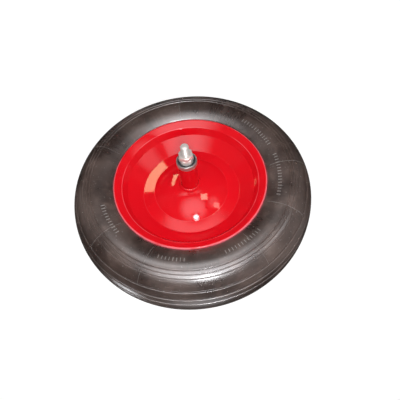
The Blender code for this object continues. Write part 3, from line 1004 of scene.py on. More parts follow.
@dataclass(frozen=True)
class WheelSizes:
    """Where the wheel's rings lie, taken by more than one sub-assembly.

    Attributes:
        gap: gap between pieces that touch on the real wheel.
        seat_radius: radius of the bead seats.
        seat_inner: height where a seat starts, beside the well.
        seat_outer: height where it ends, at the foot of the flange.
        well_half_width: half the width of the well's floor.
        well_depth: depth of the well under the seats.
        fold_radius: radius of the fold where the hoop turns out to the lip.
        fold_height: its height.
        lip_radius: outer radius of the rolled lip.
        lip_height: its height.
        curl: radius of the lip's curl.
        lip_tuck: how far the lip's end turns in under the curl.
        rim_sheet: thickness of the hoop.
        tape: thickness of the rim tape.
        tube_wall: thickness of the inner tube.
        hub_radius: outer radius of the hub tube.
        hub_half_length: half its length.
        valve_radius: distance from the axle to the valve's end.
        stem_radius: radius of the valve's stem.
    """

    gap: float = 0.0003
    seat_radius: float = 0.1016
    seat_inner: float = 0.016
    seat_outer: float = 0.0285
    well_half_width: float = 0.011
    well_depth: float = 0.005
    fold_radius: float = 0.1048
    fold_height: float = 0.0352
    lip_radius: float = 0.117
    lip_height: float = 0.043
    curl: float = 0.0022
    lip_tuck: float = 0.001
    rim_sheet: float = 0.0015
    tape: float = 0.0012
    tube_wall: float = 0.0016
    hub_radius: float = 0.01345
    hub_half_length: float = 0.083
    valve_radius: float = 0.083
    stem_radius: float = 0.0038

    def tyre_face(self, curl_points: int = 22) -> Outline:
        """Draws half of the rim's face towards the tyre.

        Args:
            curl_points: points in the lip's curl.

        Returns:
            The points from the well to the end of the rolled lip.
        """
        centre = (self.lip_radius - self.curl, self.lip_height - self.curl)
        rise = self.lip_height - self.fold_height - self.rim_sheet
        slope = math.degrees(math.atan2(rise, centre[0] - self.fold_radius))
        return [
            (self.seat_radius - self.well_depth, self.well_half_width),
            (self.seat_radius, self.seat_inner),
            (self.seat_radius, self.seat_outer),
            (self.fold_radius, self.fold_height),
            *arc(centre, self.curl - self.rim_sheet, 90 + slope, 0, curl_points),
            (self.lip_radius - self.rim_sheet, centre[1] - self.lip_tuck),
        ]

    @property
    def tape_outside(self) -> float:
        """Outer radius of the rim tape."""
        return self.seat_radius - self.well_depth + self.gap + self.tape


def mirrored(half: Outline) -> Outline:
    """The closed outline whose half runs from the middle plane to the middle plane."""
    return half + [(r, -h) for r, h in reversed(half[1:-1])]


# Sub-assemblies


@dataclass
class SubAssembly:
    """A sub-assembly of the wheel.

    Attributes:
        shop: what makes the meshes.
        sizes: the wheel's shared sizes.
    """

    shop: Workshop
    sizes: WheelSizes


@dataclass
class Tyre(SubAssembly):
    """The tyre and the inner tube in it.

    Attributes:
        radius: radius over the tread.
        half_width: half the width over the sidewalls.
        widest: radius where it is widest.
        fullness: how square the crown is, 2 being an ellipse.
        tread: thickness at the tread.
        wall: thickness of the sidewall.
        toe: height of the bead's toe.
        grooves: heights of the tread's grooves.
        groove_width: width of a groove.
        groove_depth: depth of a groove.
        lines: radii of the rings on the sidewall.
        line_width: width of a ring.
        line_depth: depth of a ring.
        lip_gap: gap between the rim's lip and the sidewall.
        joints: angles of the mould lines from the top, in degrees.
        joint_reach: radii between which they run.
        flash_width: width of a mould line.
        flash_height: height of a mould line.
        dash_groups: first and last angle of each group of dashes.
        dash_reach: radii between which they stand.
        dash_pitch: angle from dash to dash.
        dash_width: width of a dash.
        dash_height: height of a dash.
        vents: radii of the rings of vent stubs.
        nubs: stubs in a ring.
        nub_height: height of a stub.
        nub_radii: radius of a stub at its foot and at its end.
        nub_scatter: how far a stub may be off its place, as a share of the step to the next.
        hollow_fullness: how square the lower half of the hollow is.
        bead_rounding: rounding of the bead's corners.
        steps: steps of the curve that the outside takes its points from.
        spacing: distance between the points of the outside.
        fine_spacing: the same where a groove or a ring is.
        segments: flats in a turn.
    """

    radius: float = 0.186
    half_width: float = 0.049
    widest: float = 0.145014
    fullness: float = 2.1
    tread: float = 0.008
    wall: float = 0.0045
    toe: float = 0.0185
    grooves: tuple[float, ...] = (0.00848, 0.0195, 0.03249)
    groove_width: float = 0.003
    groove_depth: float = 0.0024
    lines: tuple[float, ...] = (0.16252, 0.15702, 0.15153)
    line_width: float = 0.0014
    line_depth: float = 0.0008
    lip_gap: float = 0.0005
    joints: tuple[float, ...] = (30.0, 60.0, 90.0, 179.0, 237.0, 298.0, 328.0)
    joint_reach: tuple[float, float] = (0.1225, 0.176)
    flash_width: float = 0.0008
    flash_height: float = 0.0003
    dash_groups: tuple[tuple[float, float], ...] = ((14, 40), (66, 100), (106, 134), (281, 306), (334, 351))
    dash_reach: tuple[float, float] = (0.1325, 0.1380)
    dash_pitch: float = 2.2
    dash_width: float = 0.0014
    dash_height: float = 0.0005
    vents: tuple[float, ...] = (0.1665, 0.1765)
    nubs: int = 18
    nub_height: float = 0.0008
    nub_radii: tuple[float, float] = (0.0005, 0.00035)
    nub_scatter: float = 0.12
    hollow_fullness: float = 1.6
    bead_rounding: float = 0.0016
    steps: int = 1800
    spacing: float = 0.0018
    fine_spacing: float = 0.00028
    segments: int = 224

    def outside(self) -> Outline:
        """Draws half of the outer face.

        Returns:
            The points from the middle of the tread to beside the rim's lip.
        """
        rise = self.radius - self.widest
        power = 2 / self.fullness
        smooth = []
        for i in range(self.steps + 1):
            angle = math.pi / 2 * i / self.steps
            radius = self.widest + rise * math.cos(angle) ** power
            smooth.append((radius, self.half_width * math.sin(angle) ** power))
        points = [smooth[0]]
        for (r0, h0), (r, h), (r1, h1) in zip(smooth, smooth[1:], smooth[2:]):
            on_wall = h > self.half_width / 2
            dip = 0.0
            for height in self.grooves:
                dip = max(dip, self.groove_depth * self._hump((h - height) / (self.groove_width / 2)))
            for radius in self.lines if on_wall else ():
                dip = max(dip, self.line_depth * self._hump((r - radius) / (self.line_width / 2)))
            along = Vector((r1 - r0, h1 - h0)).normalized()
            near_groove = min(abs(h - height) for height in self.grooves) < self.groove_width * 0.6
            near_line = on_wall and min(abs(r - radius) for radius in self.lines) < self.line_width * 0.7
            spacing = self.fine_spacing if near_groove or near_line else self.spacing
            point = (r - along.y * dip, h + along.x * dip)
            if math.dist(point, points[-1]) >= spacing:
                points.append(point)
        end_radius = self.sizes.lip_radius + self.lip_gap
        end_height = self.sizes.lip_height - self.lip_gap * 3
        wall_steps = 16
        for i in range(wall_steps + 1):
            share = i / wall_steps
            radius = self.widest + (end_radius - self.widest) * share
            points.append((radius, self.half_width - (self.half_width - end_height) * share**2))
        return points

    @staticmethod
    def _hump(place: float) -> float:
        """A smooth hump that is 1 at 0 and 0 beyond 1 and -1."""
        return 0.5 + 0.5 * math.cos(math.pi * place) if abs(place) < 1 else 0.0

    def bead(self) -> Outline:
        """Draws half of the foot.

        Returns:
            The points from under the lip, down the flange and along the seat to the toe.
        """
        face = self.sizes.tyre_face(2)
        lip_end = face[-1]
        fold = face[3]
        start = face[4]
        height = lip_end[1] - self.sizes.gap
        share = (height - fold[1]) / (start[1] - fold[1])
        leave = (fold[0] + share * (start[0] - fold[0]), height)
        seat = [(self.sizes.seat_radius, self.toe), face[2], fold, leave]
        foot = sideways(seat, -self.sizes.gap)
        under_lip = (self.sizes.lip_radius + self.lip_gap / 2, height)
        return rounded([under_lip, *reversed(foot)], self.bead_rounding)

    def hollow(self) -> Outline:
        """Draws half of the hollow.

        Returns:
            The points from the bead's toe to under the middle of the tread.
        """
        half_width = self.half_width - self.wall
        rise = self.radius - self.tread - self.widest
        drop = self.widest - self.sizes.tape_outside
        power = 2 / self.hollow_fullness
        toe_angle = math.asin((self.toe / half_width) ** (self.hollow_fullness / 2))
        low_steps, high_steps = 16, 24
        points = []
        for i in range(low_steps):
            angle = toe_angle + (math.pi / 2 - toe_angle) * i / low_steps
            radius = self.widest - drop * math.cos(angle) ** power
            points.append((radius, half_width * math.sin(angle) ** power))
        for i in range(high_steps + 1):
            angle = math.pi / 2 * i / high_steps
            points.append((self.widest + rise * math.sin(angle), half_width * math.cos(angle)))
        points[-1] = (self.radius - self.tread, 0.0)
        return points

    def build(self, rubber: MouldedRubber, raised: MouldedRubber, soft: MouldedRubber) -> None:
        """Makes the tyre with its mould marks, and the inner tube.

        Args:
            rubber: the tyre's finish.
            raised: finish of its raised marks, which are paler than the tyre.
            soft: the inner tube's finish.
        """
        half = self.outside() + self.bead() + self.hollow()
        material = rubber.material("tyre_rubber")
        tyre = self.shop.turned(
            "tyre_carcass", mirrored(half), material, segments=self.segments, shading=Shading.SOFT
        )
        self.shop.hand_over(tyre, "wheel", rubber.slot, "tyre")
        material = raised.material("raised_rubber")
        for side in Side:
            for name, unit, turns in (self._mould_lines(side), self._dashes(side), *self._nubs(side)):
                marks = self.shop.copied(name, unit, turns, material)
                self.shop.hand_over(marks, "wheel", raised.slot)
        self._tube(soft)

    def _mould_lines(self, side: Side) -> Mark:
        """Makes one of the fine raised lines that the mould's joints leave across the sidewall.

        Args:
            side: the sidewall that it is on.

        Returns:
            The piece's name, the line at the top of the wheel and the angles of the copies.
        """
        line = self._wall_line(*self.joint_reach)
        crests = sideways(line, -self.flash_height)
        roots = sideways(line, self.flash_height)
        unit = bmesh.new()
        rows = []
        for (r, h), (top_r, top_h) in zip(roots, crests):
            left = unit.verts.new((-self.flash_width / 2, side.value * h, r))
            crest = unit.verts.new((0.0, side.value * top_h, top_r))
            right = unit.verts.new((self.flash_width / 2, side.value * h, r))
            rows.append((left, crest, right))
        for lower, upper in zip(rows, rows[1:]):
            for i in range(3):
                j = (i + 1) % 3
                unit.faces.new((lower[i], lower[j], upper[j], upper[i]))
        unit.faces.new(rows[0][::-1])
        unit.faces.new(rows[-1])
        return side.label + "_mould_lines", unit, [-angle for angle in self.joints]

    def _dashes(self, side: Side) -> Mark:
        """Makes one of the plain raised dashes that stand in groups round the sidewall.

        Args:
            side: the sidewall that it is on.

        Returns:
            The piece's name, the dash at the top of the wheel and the angles of the copies.
        """
        margin = 0.003
        line = self._wall_line(self.dash_reach[0] - margin, self.dash_reach[1] + margin)
        unit = bmesh.new()
        sunk = 0.001
        floor = min(h for _, h in line) - sunk
        taper = 0.6
        corners = []
        for r in self.dash_reach:
            top = self._height_at(line, r) + self.dash_height
            for x in (-self.dash_width / 2, self.dash_width / 2):
                corners.append(unit.verts.new((x, side.value * floor, r)))
                corners.append(unit.verts.new((x * taper, side.value * top, r)))
        order = ((0, 1, 3, 2), (4, 6, 7, 5), (1, 5, 7, 3), (0, 2, 6, 4), (0, 4, 5, 1), (2, 3, 7, 6))
        for face in order:
            unit.faces.new([corners[i] for i in face])
        turns = []
        for start, end in self.dash_groups:
            count = round((end - start) / self.dash_pitch)
            turns += [-(start + self.dash_pitch * i) for i in range(count)]
        return side.label + "_dashes", unit, turns

    def _wall_line(self, low: float, high: float) -> Outline:
        """The points of the sidewall between two radii."""
        lowest = 0.03
        return [point for point in self.outside() if low < point[0] < high and point[1] > lowest]

    @staticmethod
    def _height_at(line: Outline, radius: float) -> float:
        """Height of the sidewall at a radius."""
        return min(line, key=lambda point: abs(point[0] - radius))[1]

    def _nubs(self, side: Side) -> list[Mark]:
        """Makes the stubs that the mould's vents leave on the shoulder.

        Args:
            side: the shoulder that they are on.

        Returns:
            The same for each ring of stubs.
        """
        lowest = 0.02
        line = [point for point in self.outside() if point[1] > lowest]
        foot, end = self.nub_radii
        marks = []
        for number, radius in enumerate(self.vents):
            r, h = min(line, key=lambda point: abs(point[0] - radius))
            spot = line.index((r, h))
            along = (Vector(line[spot + 2]) - Vector(line[spot - 2])).normalized()
            normal = Vector((0.0, side.value * along.x, -along.y))
            lean = normal.to_track_quat("Z", "Y").to_matrix().to_4x4()
            place = Matrix.Translation((0.0, side.value * h, r)) @ lean
            depth = self.nub_height * 2
            unit = bmesh.new()
            size = {"radius1": foot, "radius2": end, "depth": depth}
            bmesh.ops.create_cone(unit, cap_ends=True, segments=7, matrix=place, **size)
            dice = random.Random(number * 10 + side.value)
            turns = []
            for i in range(self.nubs):
                turns.append(360 * (i + dice.uniform(-self.nub_scatter, self.nub_scatter)) / self.nubs)
            marks.append((f"{side.label}_nubs_{number + 1}", unit, turns))
        return marks

    def _tube(self, soft: MouldedRubber) -> None:
        """Makes the inner tube.

        Args:
            soft: its finish.
        """
        gap = self.sizes.gap
        side = sideways(self.hollow(), -gap)
        side[-1] = (side[-1][0], 0.0)
        floor = self.sizes.tape_outside + gap
        outside = [(floor, 0.0), (floor, self.sizes.well_half_width - gap), *side]
        inside = sideways(outside, -self.sizes.tube_wall)
        inside[0] = (inside[0][0], 0.0)
        inside[-1] = (inside[-1][0], 0.0)
        material = soft.material("inner_tube_rubber")
        tube = self.shop.turned("inner_tube_skin", mirrored(outside), material)
        space = self.shop.turned("inner_tube_space", mirrored(inside), material)
        self.shop.carve(tube, space)
        self.shop.drill_valve_hole(tube, self.sizes)
        self.shop.hand_over(tube, "wheel", soft.slot, "inner_tube")


@dataclass
class Rim(SubAssembly):
    """The rim: the rolled hoop, its two pressed discs and the tape in its well.

    Attributes:
        disc_sheet: thickness of the discs.
        tab_height: height of the disc's edge.
        corner_height: height where the disc turns in.
        valley_radius: radius of the valley.
        valley_height: its height.
        ring_radius: radius where the dome starts.
        ring_height: its height.
        foot_height: height where the dome meets the hub tube.
        dome: radius of the dome's curve.
        seam: gap between the disc's thin edge and the hoop.
        seam_reach: where that edge starts and ends on the hoop's slope, as shares of the slope.
        tab_thinning: how far under its height the disc's edge starts to thin.
        disc_rounding: rounding of the disc's folds.
        hoop_rounding: rounding of the hoop's folds.
        opening_radius: radius of the opening for the valve in the rear disc.
        opening_reach: heights between which it is cut.
        segments: flats in a turn.
    """

    disc_sheet: float = 0.002
    tab_height: float = 0.030
    corner_height: float = 0.0265
    valley_radius: float = 0.0755
    valley_height: float = 0.011
    ring_radius: float = 0.0575
    ring_height: float = 0.0135
    foot_height: float = 0.031
    dome: float = 0.090
    seam: float = 0.00006
    seam_reach: tuple[float, float] = (0.06, 0.9)
    tab_thinning: float = 0.0014
    disc_rounding: float = 0.0021
    hoop_rounding: float = 0.0016
    opening_radius: float = 0.0056
    opening_reach: tuple[float, float] = (0.005, 0.034)
    segments: int = 192

    def dome_line(self, count: int) -> Outline:
        """Draws the dome.

        Args:
            count: how many points.

        Returns:
            The points from the flat ring down to the hub tube.
        """
        start = Vector((self.ring_radius, self.ring_height))
        end = Vector((self.sizes.hub_radius + self.sizes.gap, self.foot_height))
        chord = end - start
        inwards = Vector((-chord.y, chord.x)).normalized()
        depth = math.sqrt(self.dome**2 - (chord.length / 2) ** 2)
        centre = (start + end) / 2 + inwards * depth
        first = math.degrees(math.atan2(start.y - centre.y, start.x - centre.x))
        last = math.degrees(math.atan2(end.y - centre.y, end.x - centre.x))
        return arc((centre.x, centre.y), self.dome, first, last, count)

    def disc_outline(self) -> Outline:
        """Draws the section of a disc, whose edge flares out along the hoop to a thin end.

        Returns:
            The closed outline.
        """
        back_radius = self.sizes.seat_radius - self.sizes.rim_sheet - self.sizes.gap
        corner = (back_radius - self.disc_sheet, self.corner_height)
        valley = (self.valley_radius, self.valley_height)
        dome = self.dome_line(26)
        hoop = sideways(self.sizes.tyre_face(), self.sizes.rim_sheet)
        bend = Vector(hoop[2])
        fold = Vector(hoop[3])
        away = (fold - bend).normalized().orthogonal() * self.seam
        start, end = (tuple(bend.lerp(fold, share) + away) for share in self.seam_reach)
        inner = [corner, valley, dome[0], dome[1]]
        corner_points = 7
        face = rounded([end, *inner], self.disc_rounding, corner_points)[:-1] + dome[1:]
        middle = rounded(inner, self.disc_rounding, corner_points)[:-1] + dome[1:]
        back = sideways(middle, self.disc_sheet)
        back[-1] = (face[-1][0], back[-1][1])
        tab = (back_radius, back[0][1] + self.disc_sheet / 2)
        return [*face, *reversed(back), tab, (back_radius, self.tab_height - self.tab_thinning), start]

    def hoop_outline(self) -> Outline:
        """Draws the section of the hoop.

        Returns:
            The closed outline.
        """
        half = self.sizes.tyre_face()
        path = [(r, -h) for r, h in reversed(half)] + half
        return sheet(rounded(path, self.hoop_rounding), self.sizes.rim_sheet)

    def build(self, paint: GlossyPaint, soft: MouldedRubber) -> None:
        """Makes the hoop, both discs and the tape.

        Args:
            paint: the rim's finish.
            soft: the tape's finish.
        """
        material = paint.material("hoop_paint")
        hoop = self.shop.turned("rim_hoop_rolled", self.hoop_outline(), material, segments=self.segments)
        self.shop.drill_valve_hole(hoop, self.sizes)
        self.shop.hand_over(hoop, "wheel", paint.slot, "rim_hoop")
        for side in Side:
            name = side.label + "_disc"
            material = paint.material(name + "_paint")
            disc = self.shop.turned(name + "_pressed", self.disc_outline(), material, side, self.segments)
            if side is Side.REAR:
                self._cut_opening(disc, material)
            self.shop.hand_over(disc, "wheel", paint.slot, name)
        self._tape(soft)

    def _cut_opening(self, disc: Piece, material: Material) -> None:
        """Cuts the opening for the valve.

        Args:
            disc: the disc that it is cut in.
            material: the disc's material.
        """
        place = Vector((0.0, 0.0, -self.sizes.valve_radius))
        low, high = self.opening_reach
        outline = [(0.0, high), (self.opening_radius, high), (self.opening_radius, low), (0.0, low)]
        hole = self.shop.turned("valve_opening", outline, material, closed=False, segments=32, centre=place)
        self.shop.carve(disc, hole)

    def _tape(self, soft: MouldedRubber) -> None:
        """Makes the tape in the well.

        Args:
            soft: its finish.
        """
        low = self.sizes.seat_radius - self.sizes.well_depth + self.sizes.gap
        high = self.sizes.tape_outside
        edge = self.sizes.well_half_width - self.sizes.gap
        outline = [(low, -edge), (high, -edge), (high, edge), (low, edge)]
        tape = self.shop.turned("rim_tape_band", outline, soft.material("rim_tape_rubber"))
        self.shop.drill_valve_hole(tape, self.sizes)
        self.shop.hand_over(tape, "wheel", soft.slot, "rim_tape")


@dataclass
class Hub(SubAssembly):
    """The hub tube, the welds on it and the bearings in its ends.

    Attributes:
        rim: the rim, whose dome the welds follow.
        tube_wall: thickness of the hub tube.
        weld: leg of the weld.
        weld_bulge: how far its face bulges.
        weld_sink: how far its face lies under a straight one.
        weld_scale: how far its scales stand out.
        weld_scales: how many scales there are in a turn.
        ball_radius: radius of a ball.
        ball_circle: radius of the circle of balls.
        ball_lift: height of the balls over the cup's seat.
        balls: how many balls a side.
        cup_radius: outer radius of a cup.
        cup_height: height of a cup over its seat.
        cup_wall: thickness of a cup.
        cup_edge: rounding of its edge.
        cup_insert: length of its sleeve.
        cup_bore: radius of its bore.
        shield_sheet: thickness of a dust shield.
        running_gap: gap between what turns and what doesn't.
        cage_wire: half the thickness of the ring that holds the balls.
        cage_lift: height of that ring over the balls' centres.
    """

    rim: Rim
    tube_wall: float = 0.00245
    weld: float = 0.0036
    weld_bulge: float = 0.000245
    weld_sink: float = 0.0002
    weld_scale: float = 0.0004
    weld_scales: int = 34
    ball_radius: float = 0.00238
    ball_circle: float = 0.0098
    ball_lift: float = 0.0029
    balls: int = 9
    cup_radius: float = 0.015
    cup_height: float = 0.0075
    cup_wall: float = 0.0018
    cup_edge: float = 0.0006
    cup_insert: float = 0.008
    cup_bore: float = 0.0087
    shield_sheet: float = 0.0006
    running_gap: float = 0.0005
    cage_wire: float = 0.0005
    cage_lift: float = 0.0007

    @property
    def seat(self) -> float:
        """Height of the cup's seat on the end of the tube."""
        return self.sizes.hub_half_length + self.sizes.gap

    @property
    def ball_height(self) -> float:
        """Height of the balls' centres."""
        return self.seat + self.ball_lift

    def cone_race(self, count: int = 14) -> Outline:
        """The cone's track for the balls, from its tip to its shoulder."""
        return arc((self.ball_circle, self.ball_height), self.ball_radius + self.sizes.gap, 200, 100, count)

    def build(self, paint: GlossyPaint, cup: BareMetal, shield: BareMetal, ball: BareMetal) -> None:
        """Makes the tube, and on each side the weld, cup, shield and balls.

        Args:
            paint: finish of the tube and the welds.
            cup: finish of the cups.
            shield: finish of the dust shields.
            ball: finish of the balls.
        """
        bore = self.sizes.hub_radius - self.tube_wall
        end = self.sizes.hub_half_length
        edge = 0.0004
        outline = [
            (bore, -end),
            (self.sizes.hub_radius - edge, -end),
            (self.sizes.hub_radius, edge - end),
            (self.sizes.hub_radius, end - edge),
            (self.sizes.hub_radius - edge, end),
            (bore, end),
        ]
        tube = self.shop.turned("hub_tube_painted", outline, paint.material("hub_tube_paint"))
        self.shop.hand_over(tube, "wheel", paint.slot, "hub_tube")
        for side in Side:
            self._weld(side, paint)
            self._cup(side, cup)
            self._shield(side, shield)
            self._balls(side, ball)

    def _weld(self, side: Side, paint: GlossyPaint) -> None:
        """Makes a weld bead with its scales.

        Args:
            side: the side that it is on.
            paint: its finish.
        """
        inner = self.sizes.hub_radius + self.sizes.gap
        outer = inner + self.weld
        foot = self.rim.foot_height + self.sizes.gap
        slope = [point for point in self.rim.dome_line(200) if point[0] <= outer]
        outer_foot = slope[0][1] + self.sizes.gap
        under = [(r, h + self.sizes.gap) for r, h in slope[::-1]]
        top = foot + self.weld
        steps = 12
        waves = [math.sin(math.pi * i / steps) for i in range(1, steps)]
        bead = []
        for i, wave in enumerate(waves, start=1):
            lift = self.weld_bulge * wave - self.weld_sink
            r = outer + (inner - outer) * i / steps + lift
            bead.append((max(r, inner), outer_foot + (top - outer_foot) * i / steps + lift))
        outline = [*under, *bead, (inner, top - self.sizes.gap)]
        name = side.label + "_hub_weld"
        weld = self.shop.turned(
            name + "_bead",
            outline,
            paint.material(name + "_paint"),
            side,
            ripple=Ripple(depth=self.weld_scale, count=self.weld_scales),
            swells=[0.0] * len(under) + waves + [0.0],
            segments=self.weld_scales * 8,
            shading=Shading.SOFT,
        )
        self.shop.hand_over(weld, "wheel", paint.slot, name)

    def _cup(self, side: Side, finish: BareMetal) -> None:
        """Makes a pressed bearing cup.

        Args:
            side: the side that it is on.
            finish: its finish.
        """
        sleeve = self.sizes.hub_radius - self.tube_wall - self.sizes.gap
        mouth = self.cup_radius - self.cup_wall
        top = self.seat + self.cup_height
        centre = (self.ball_circle, self.ball_height)
        race = arc(centre, self.ball_radius + self.sizes.gap, 0, -90, 12)
        corner = (self.cup_radius - self.cup_edge, top - self.cup_edge)
        foot = 0.0005
        lip = 0.0002
        outline = [
            (self.cup_bore, self.seat - self.cup_insert),
            (sleeve, self.seat - self.cup_insert),
            (sleeve, self.seat),
            (self.cup_radius - foot, self.seat),
            (self.cup_radius, self.seat + foot),
            *arc(corner, self.cup_edge, 0, 90, 7),
            (mouth + lip, top),
            (mouth, top - lip),
            (mouth, self.ball_height + self.ball_radius),
            *race,
            (self.cup_bore, race[-1][1]),
        ]
        name = side.label + "_bearing_cup"
        cup = self.shop.turned(name + "_pressed", outline, finish.material(name + "_steel"), side)
        self.shop.hand_over(cup, "wheel", finish.slot, name)

    def _shield(self, side: Side, finish: BareMetal) -> None:
        """Makes the dust shield in a cup's mouth.

        Args:
            side: the side that it is on.
            finish: its finish.
        """
        inner = self.cone_race()[-1][0] + self.running_gap
        outer = self.cup_radius - self.cup_wall - self.sizes.gap
        low = self.ball_height + self.ball_radius + self.sizes.gap
        high = low + self.shield_sheet
        edge = 0.00015
        outline = [(inner, low), (outer, low), (outer, high - edge), (outer - edge, high)]
        outline += [(inner + edge, high), (inner, high - edge)]
        name = side.label + "_dust_shield"
        shield = self.shop.turned(name + "_ring", outline, finish.material(name + "_steel"), side)
        self.shop.hand_over(shield, "wheel", finish.slot, name)

    def _balls(self, side: Side, finish: BareMetal) -> None:
        """Makes a ring of balls and the ring that holds them.

        Args:
            side: the side that they are on.
            finish: their finish.
        """
        height = side.value * self.ball_height
        unit = bmesh.new()
        place = Matrix.Translation((0.0, height, self.ball_circle))
        bmesh.ops.create_uvsphere(unit, u_segments=28, v_segments=16, radius=self.ball_radius, matrix=place)
        turns = [360 * i / self.balls for i in range(self.balls)]
        name = side.label + "_ball_cage"
        material = finish.material(name + "_steel")
        balls = self.shop.copied(name + "_balls", unit, turns, material, Shading.SOFT)
        self.shop.hand_over(balls, side.label + "_balls", finish.slot, name)
        low = self.ball_height + self.cage_lift
        high = low + 2 * self.cage_wire
        inner = self.ball_circle - self.cage_wire
        outer = self.ball_circle + self.cage_wire
        outline = [(inner, low), (outer, low), (outer, high), (inner, high)]
        ring = self.shop.turned(name + "_ring", outline, material, side)
        self.shop.hand_over(ring, side.label + "_balls", finish.slot)


@dataclass
class AxleSet(SubAssembly):
    """The axle with its cones and lock nuts.

    Attributes:
        hub: the hub, whose balls run on the cones.
        radius: radius of the axle.
        half_length: half its length.
        chamfer: chamfer on its ends.
        pitch: pitch of its threads.
        thread_depth: how deep they are.
        thread_start: distance from the wheel's middle plane where they start.
        thread_rows: rows of points in one pitch.
        across: size of the hexagons across their flats.
        head: height of a cone's hexagon over the end of the hub tube.
        head_height: thickness of a cone's hexagon.
        nut_height: thickness of a lock nut.
        cone_turn: angle of a cone's first corner from the top, in degrees.
        nut_turn: how far a lock nut is turned from its cone, in degrees.
        bore_edge: chamfer of the cones' and nuts' bores.
        cone_tip: length of a cone past its race.
    """

    hub: Hub
    radius: float = 0.006
    half_length: float = 0.123
    chamfer: float = 0.001
    pitch: float = 0.00125
    thread_depth: float = 0.0007
    thread_start: float = 0.078
    thread_rows: int = 9
    across: float = 0.019
    head: float = 0.008
    head_height: float = 0.008
    nut_height: float = 0.006
    cone_turn: float = 30.0
    nut_turn: float = 38.0
    bore_edge: float = 0.0004
    cone_tip: float = 0.0022

    def build(self, zinc: BareMetal) -> None:
        """Makes the axle, both cones and both lock nuts.

        Args:
            zinc: the plated finish of them all.
        """
        self._rod(zinc)
        low = self.sizes.hub_half_length + self.head
        cone = self._cone_rows(low)
        nut = self._nut_rows(low + self.head_height + self.sizes.gap)
        for side in Side:
            nut_turn = self.cone_turn + side.value * self.nut_turn
            for kind, rows, turn in (("_cone", cone, self.cone_turn), ("_lock_nut", nut, nut_turn)):
                name = side.label + kind
                material = zinc.material(name + "_zinc")
                piece = self.shop.hexagonal(name + "_machined", self.across, rows, material, side, turn)
                self.shop.hand_over(piece, "axle", zinc.slot, name)

    def _rod(self, zinc: BareMetal) -> None:
        """Makes the threaded axle.

        Args:
            zinc: its finish.
        """
        thread = Thread(self.radius, self.thread_depth, self.pitch, self.thread_start)
        crest = self.half_length - self.chamfer
        row = self.pitch / self.thread_rows
        rows = math.ceil((crest - self.thread_start) / row) + 1
        fine = [(self.radius, crest - row * i) for i in range(rows)]
        nose = [(0.0, self.half_length), (self.radius - self.chamfer, self.half_length)]
        half = nose + fine
        outline = half + [(self.radius, 0.0)] + [(r, -h) for r, h in reversed(half)]
        axle = self.shop.turned(
            "axle_threaded",
            outline,
            zinc.material("axle_zinc"),
            closed=False,
            segments=48,
            thread=thread,
            shading=Shading.SOFT,
        )
        self.shop.hand_over(axle, "axle", zinc.slot, "axle")

    def _cone_rows(self, low: float) -> list[Row]:
        """Draws a bearing cone with its hexagon head.

        Args:
            low: height of the head's inner face.

        Returns:
            Its rows of points.
        """
        race = self.hub.cone_race()
        bore = self.radius + self.sizes.gap
        tip = race[0][1] - self.cone_tip
        taper = 0.0001
        edge = 0.0002
        return [
            (HexRow.ROUND, bore, tip),
            (HexRow.ROUND, race[0][0] - taper, tip),
            *((HexRow.ROUND, r, h) for r, h in race),
            (HexRow.ROUND, race[-1][0], low),
            (HexRow.FACE, 0.0, low),
            (HexRow.SIDE, 0.0, low + edge),
            *self._outer_rows(low + self.head_height),
        ]

    def _nut_rows(self, low: float) -> list[Row]:
        """The rows of a lock nut whose inner face is that high."""
        bore = self.radius + self.sizes.gap
        return [
            (HexRow.ROUND, bore, low + self.bore_edge),
            (HexRow.ROUND, bore + self.bore_edge, low),
            (HexRow.FACE, 0.0, low),
            (HexRow.LOWER_EDGE, 0.0, low),
            *self._outer_rows(low + self.nut_height),
        ]

    def _outer_rows(self, top: float) -> list[Row]:
        """The rows over a hexagon's outer face and into its bore."""
        bore = self.radius + self.sizes.gap
        return [
            (HexRow.UPPER_EDGE, 0.0, top),
            (HexRow.FACE, 0.0, top),
            (HexRow.ROUND, bore + self.bore_edge, top),
            (HexRow.ROUND, bore, top - self.bore_edge),
        ]


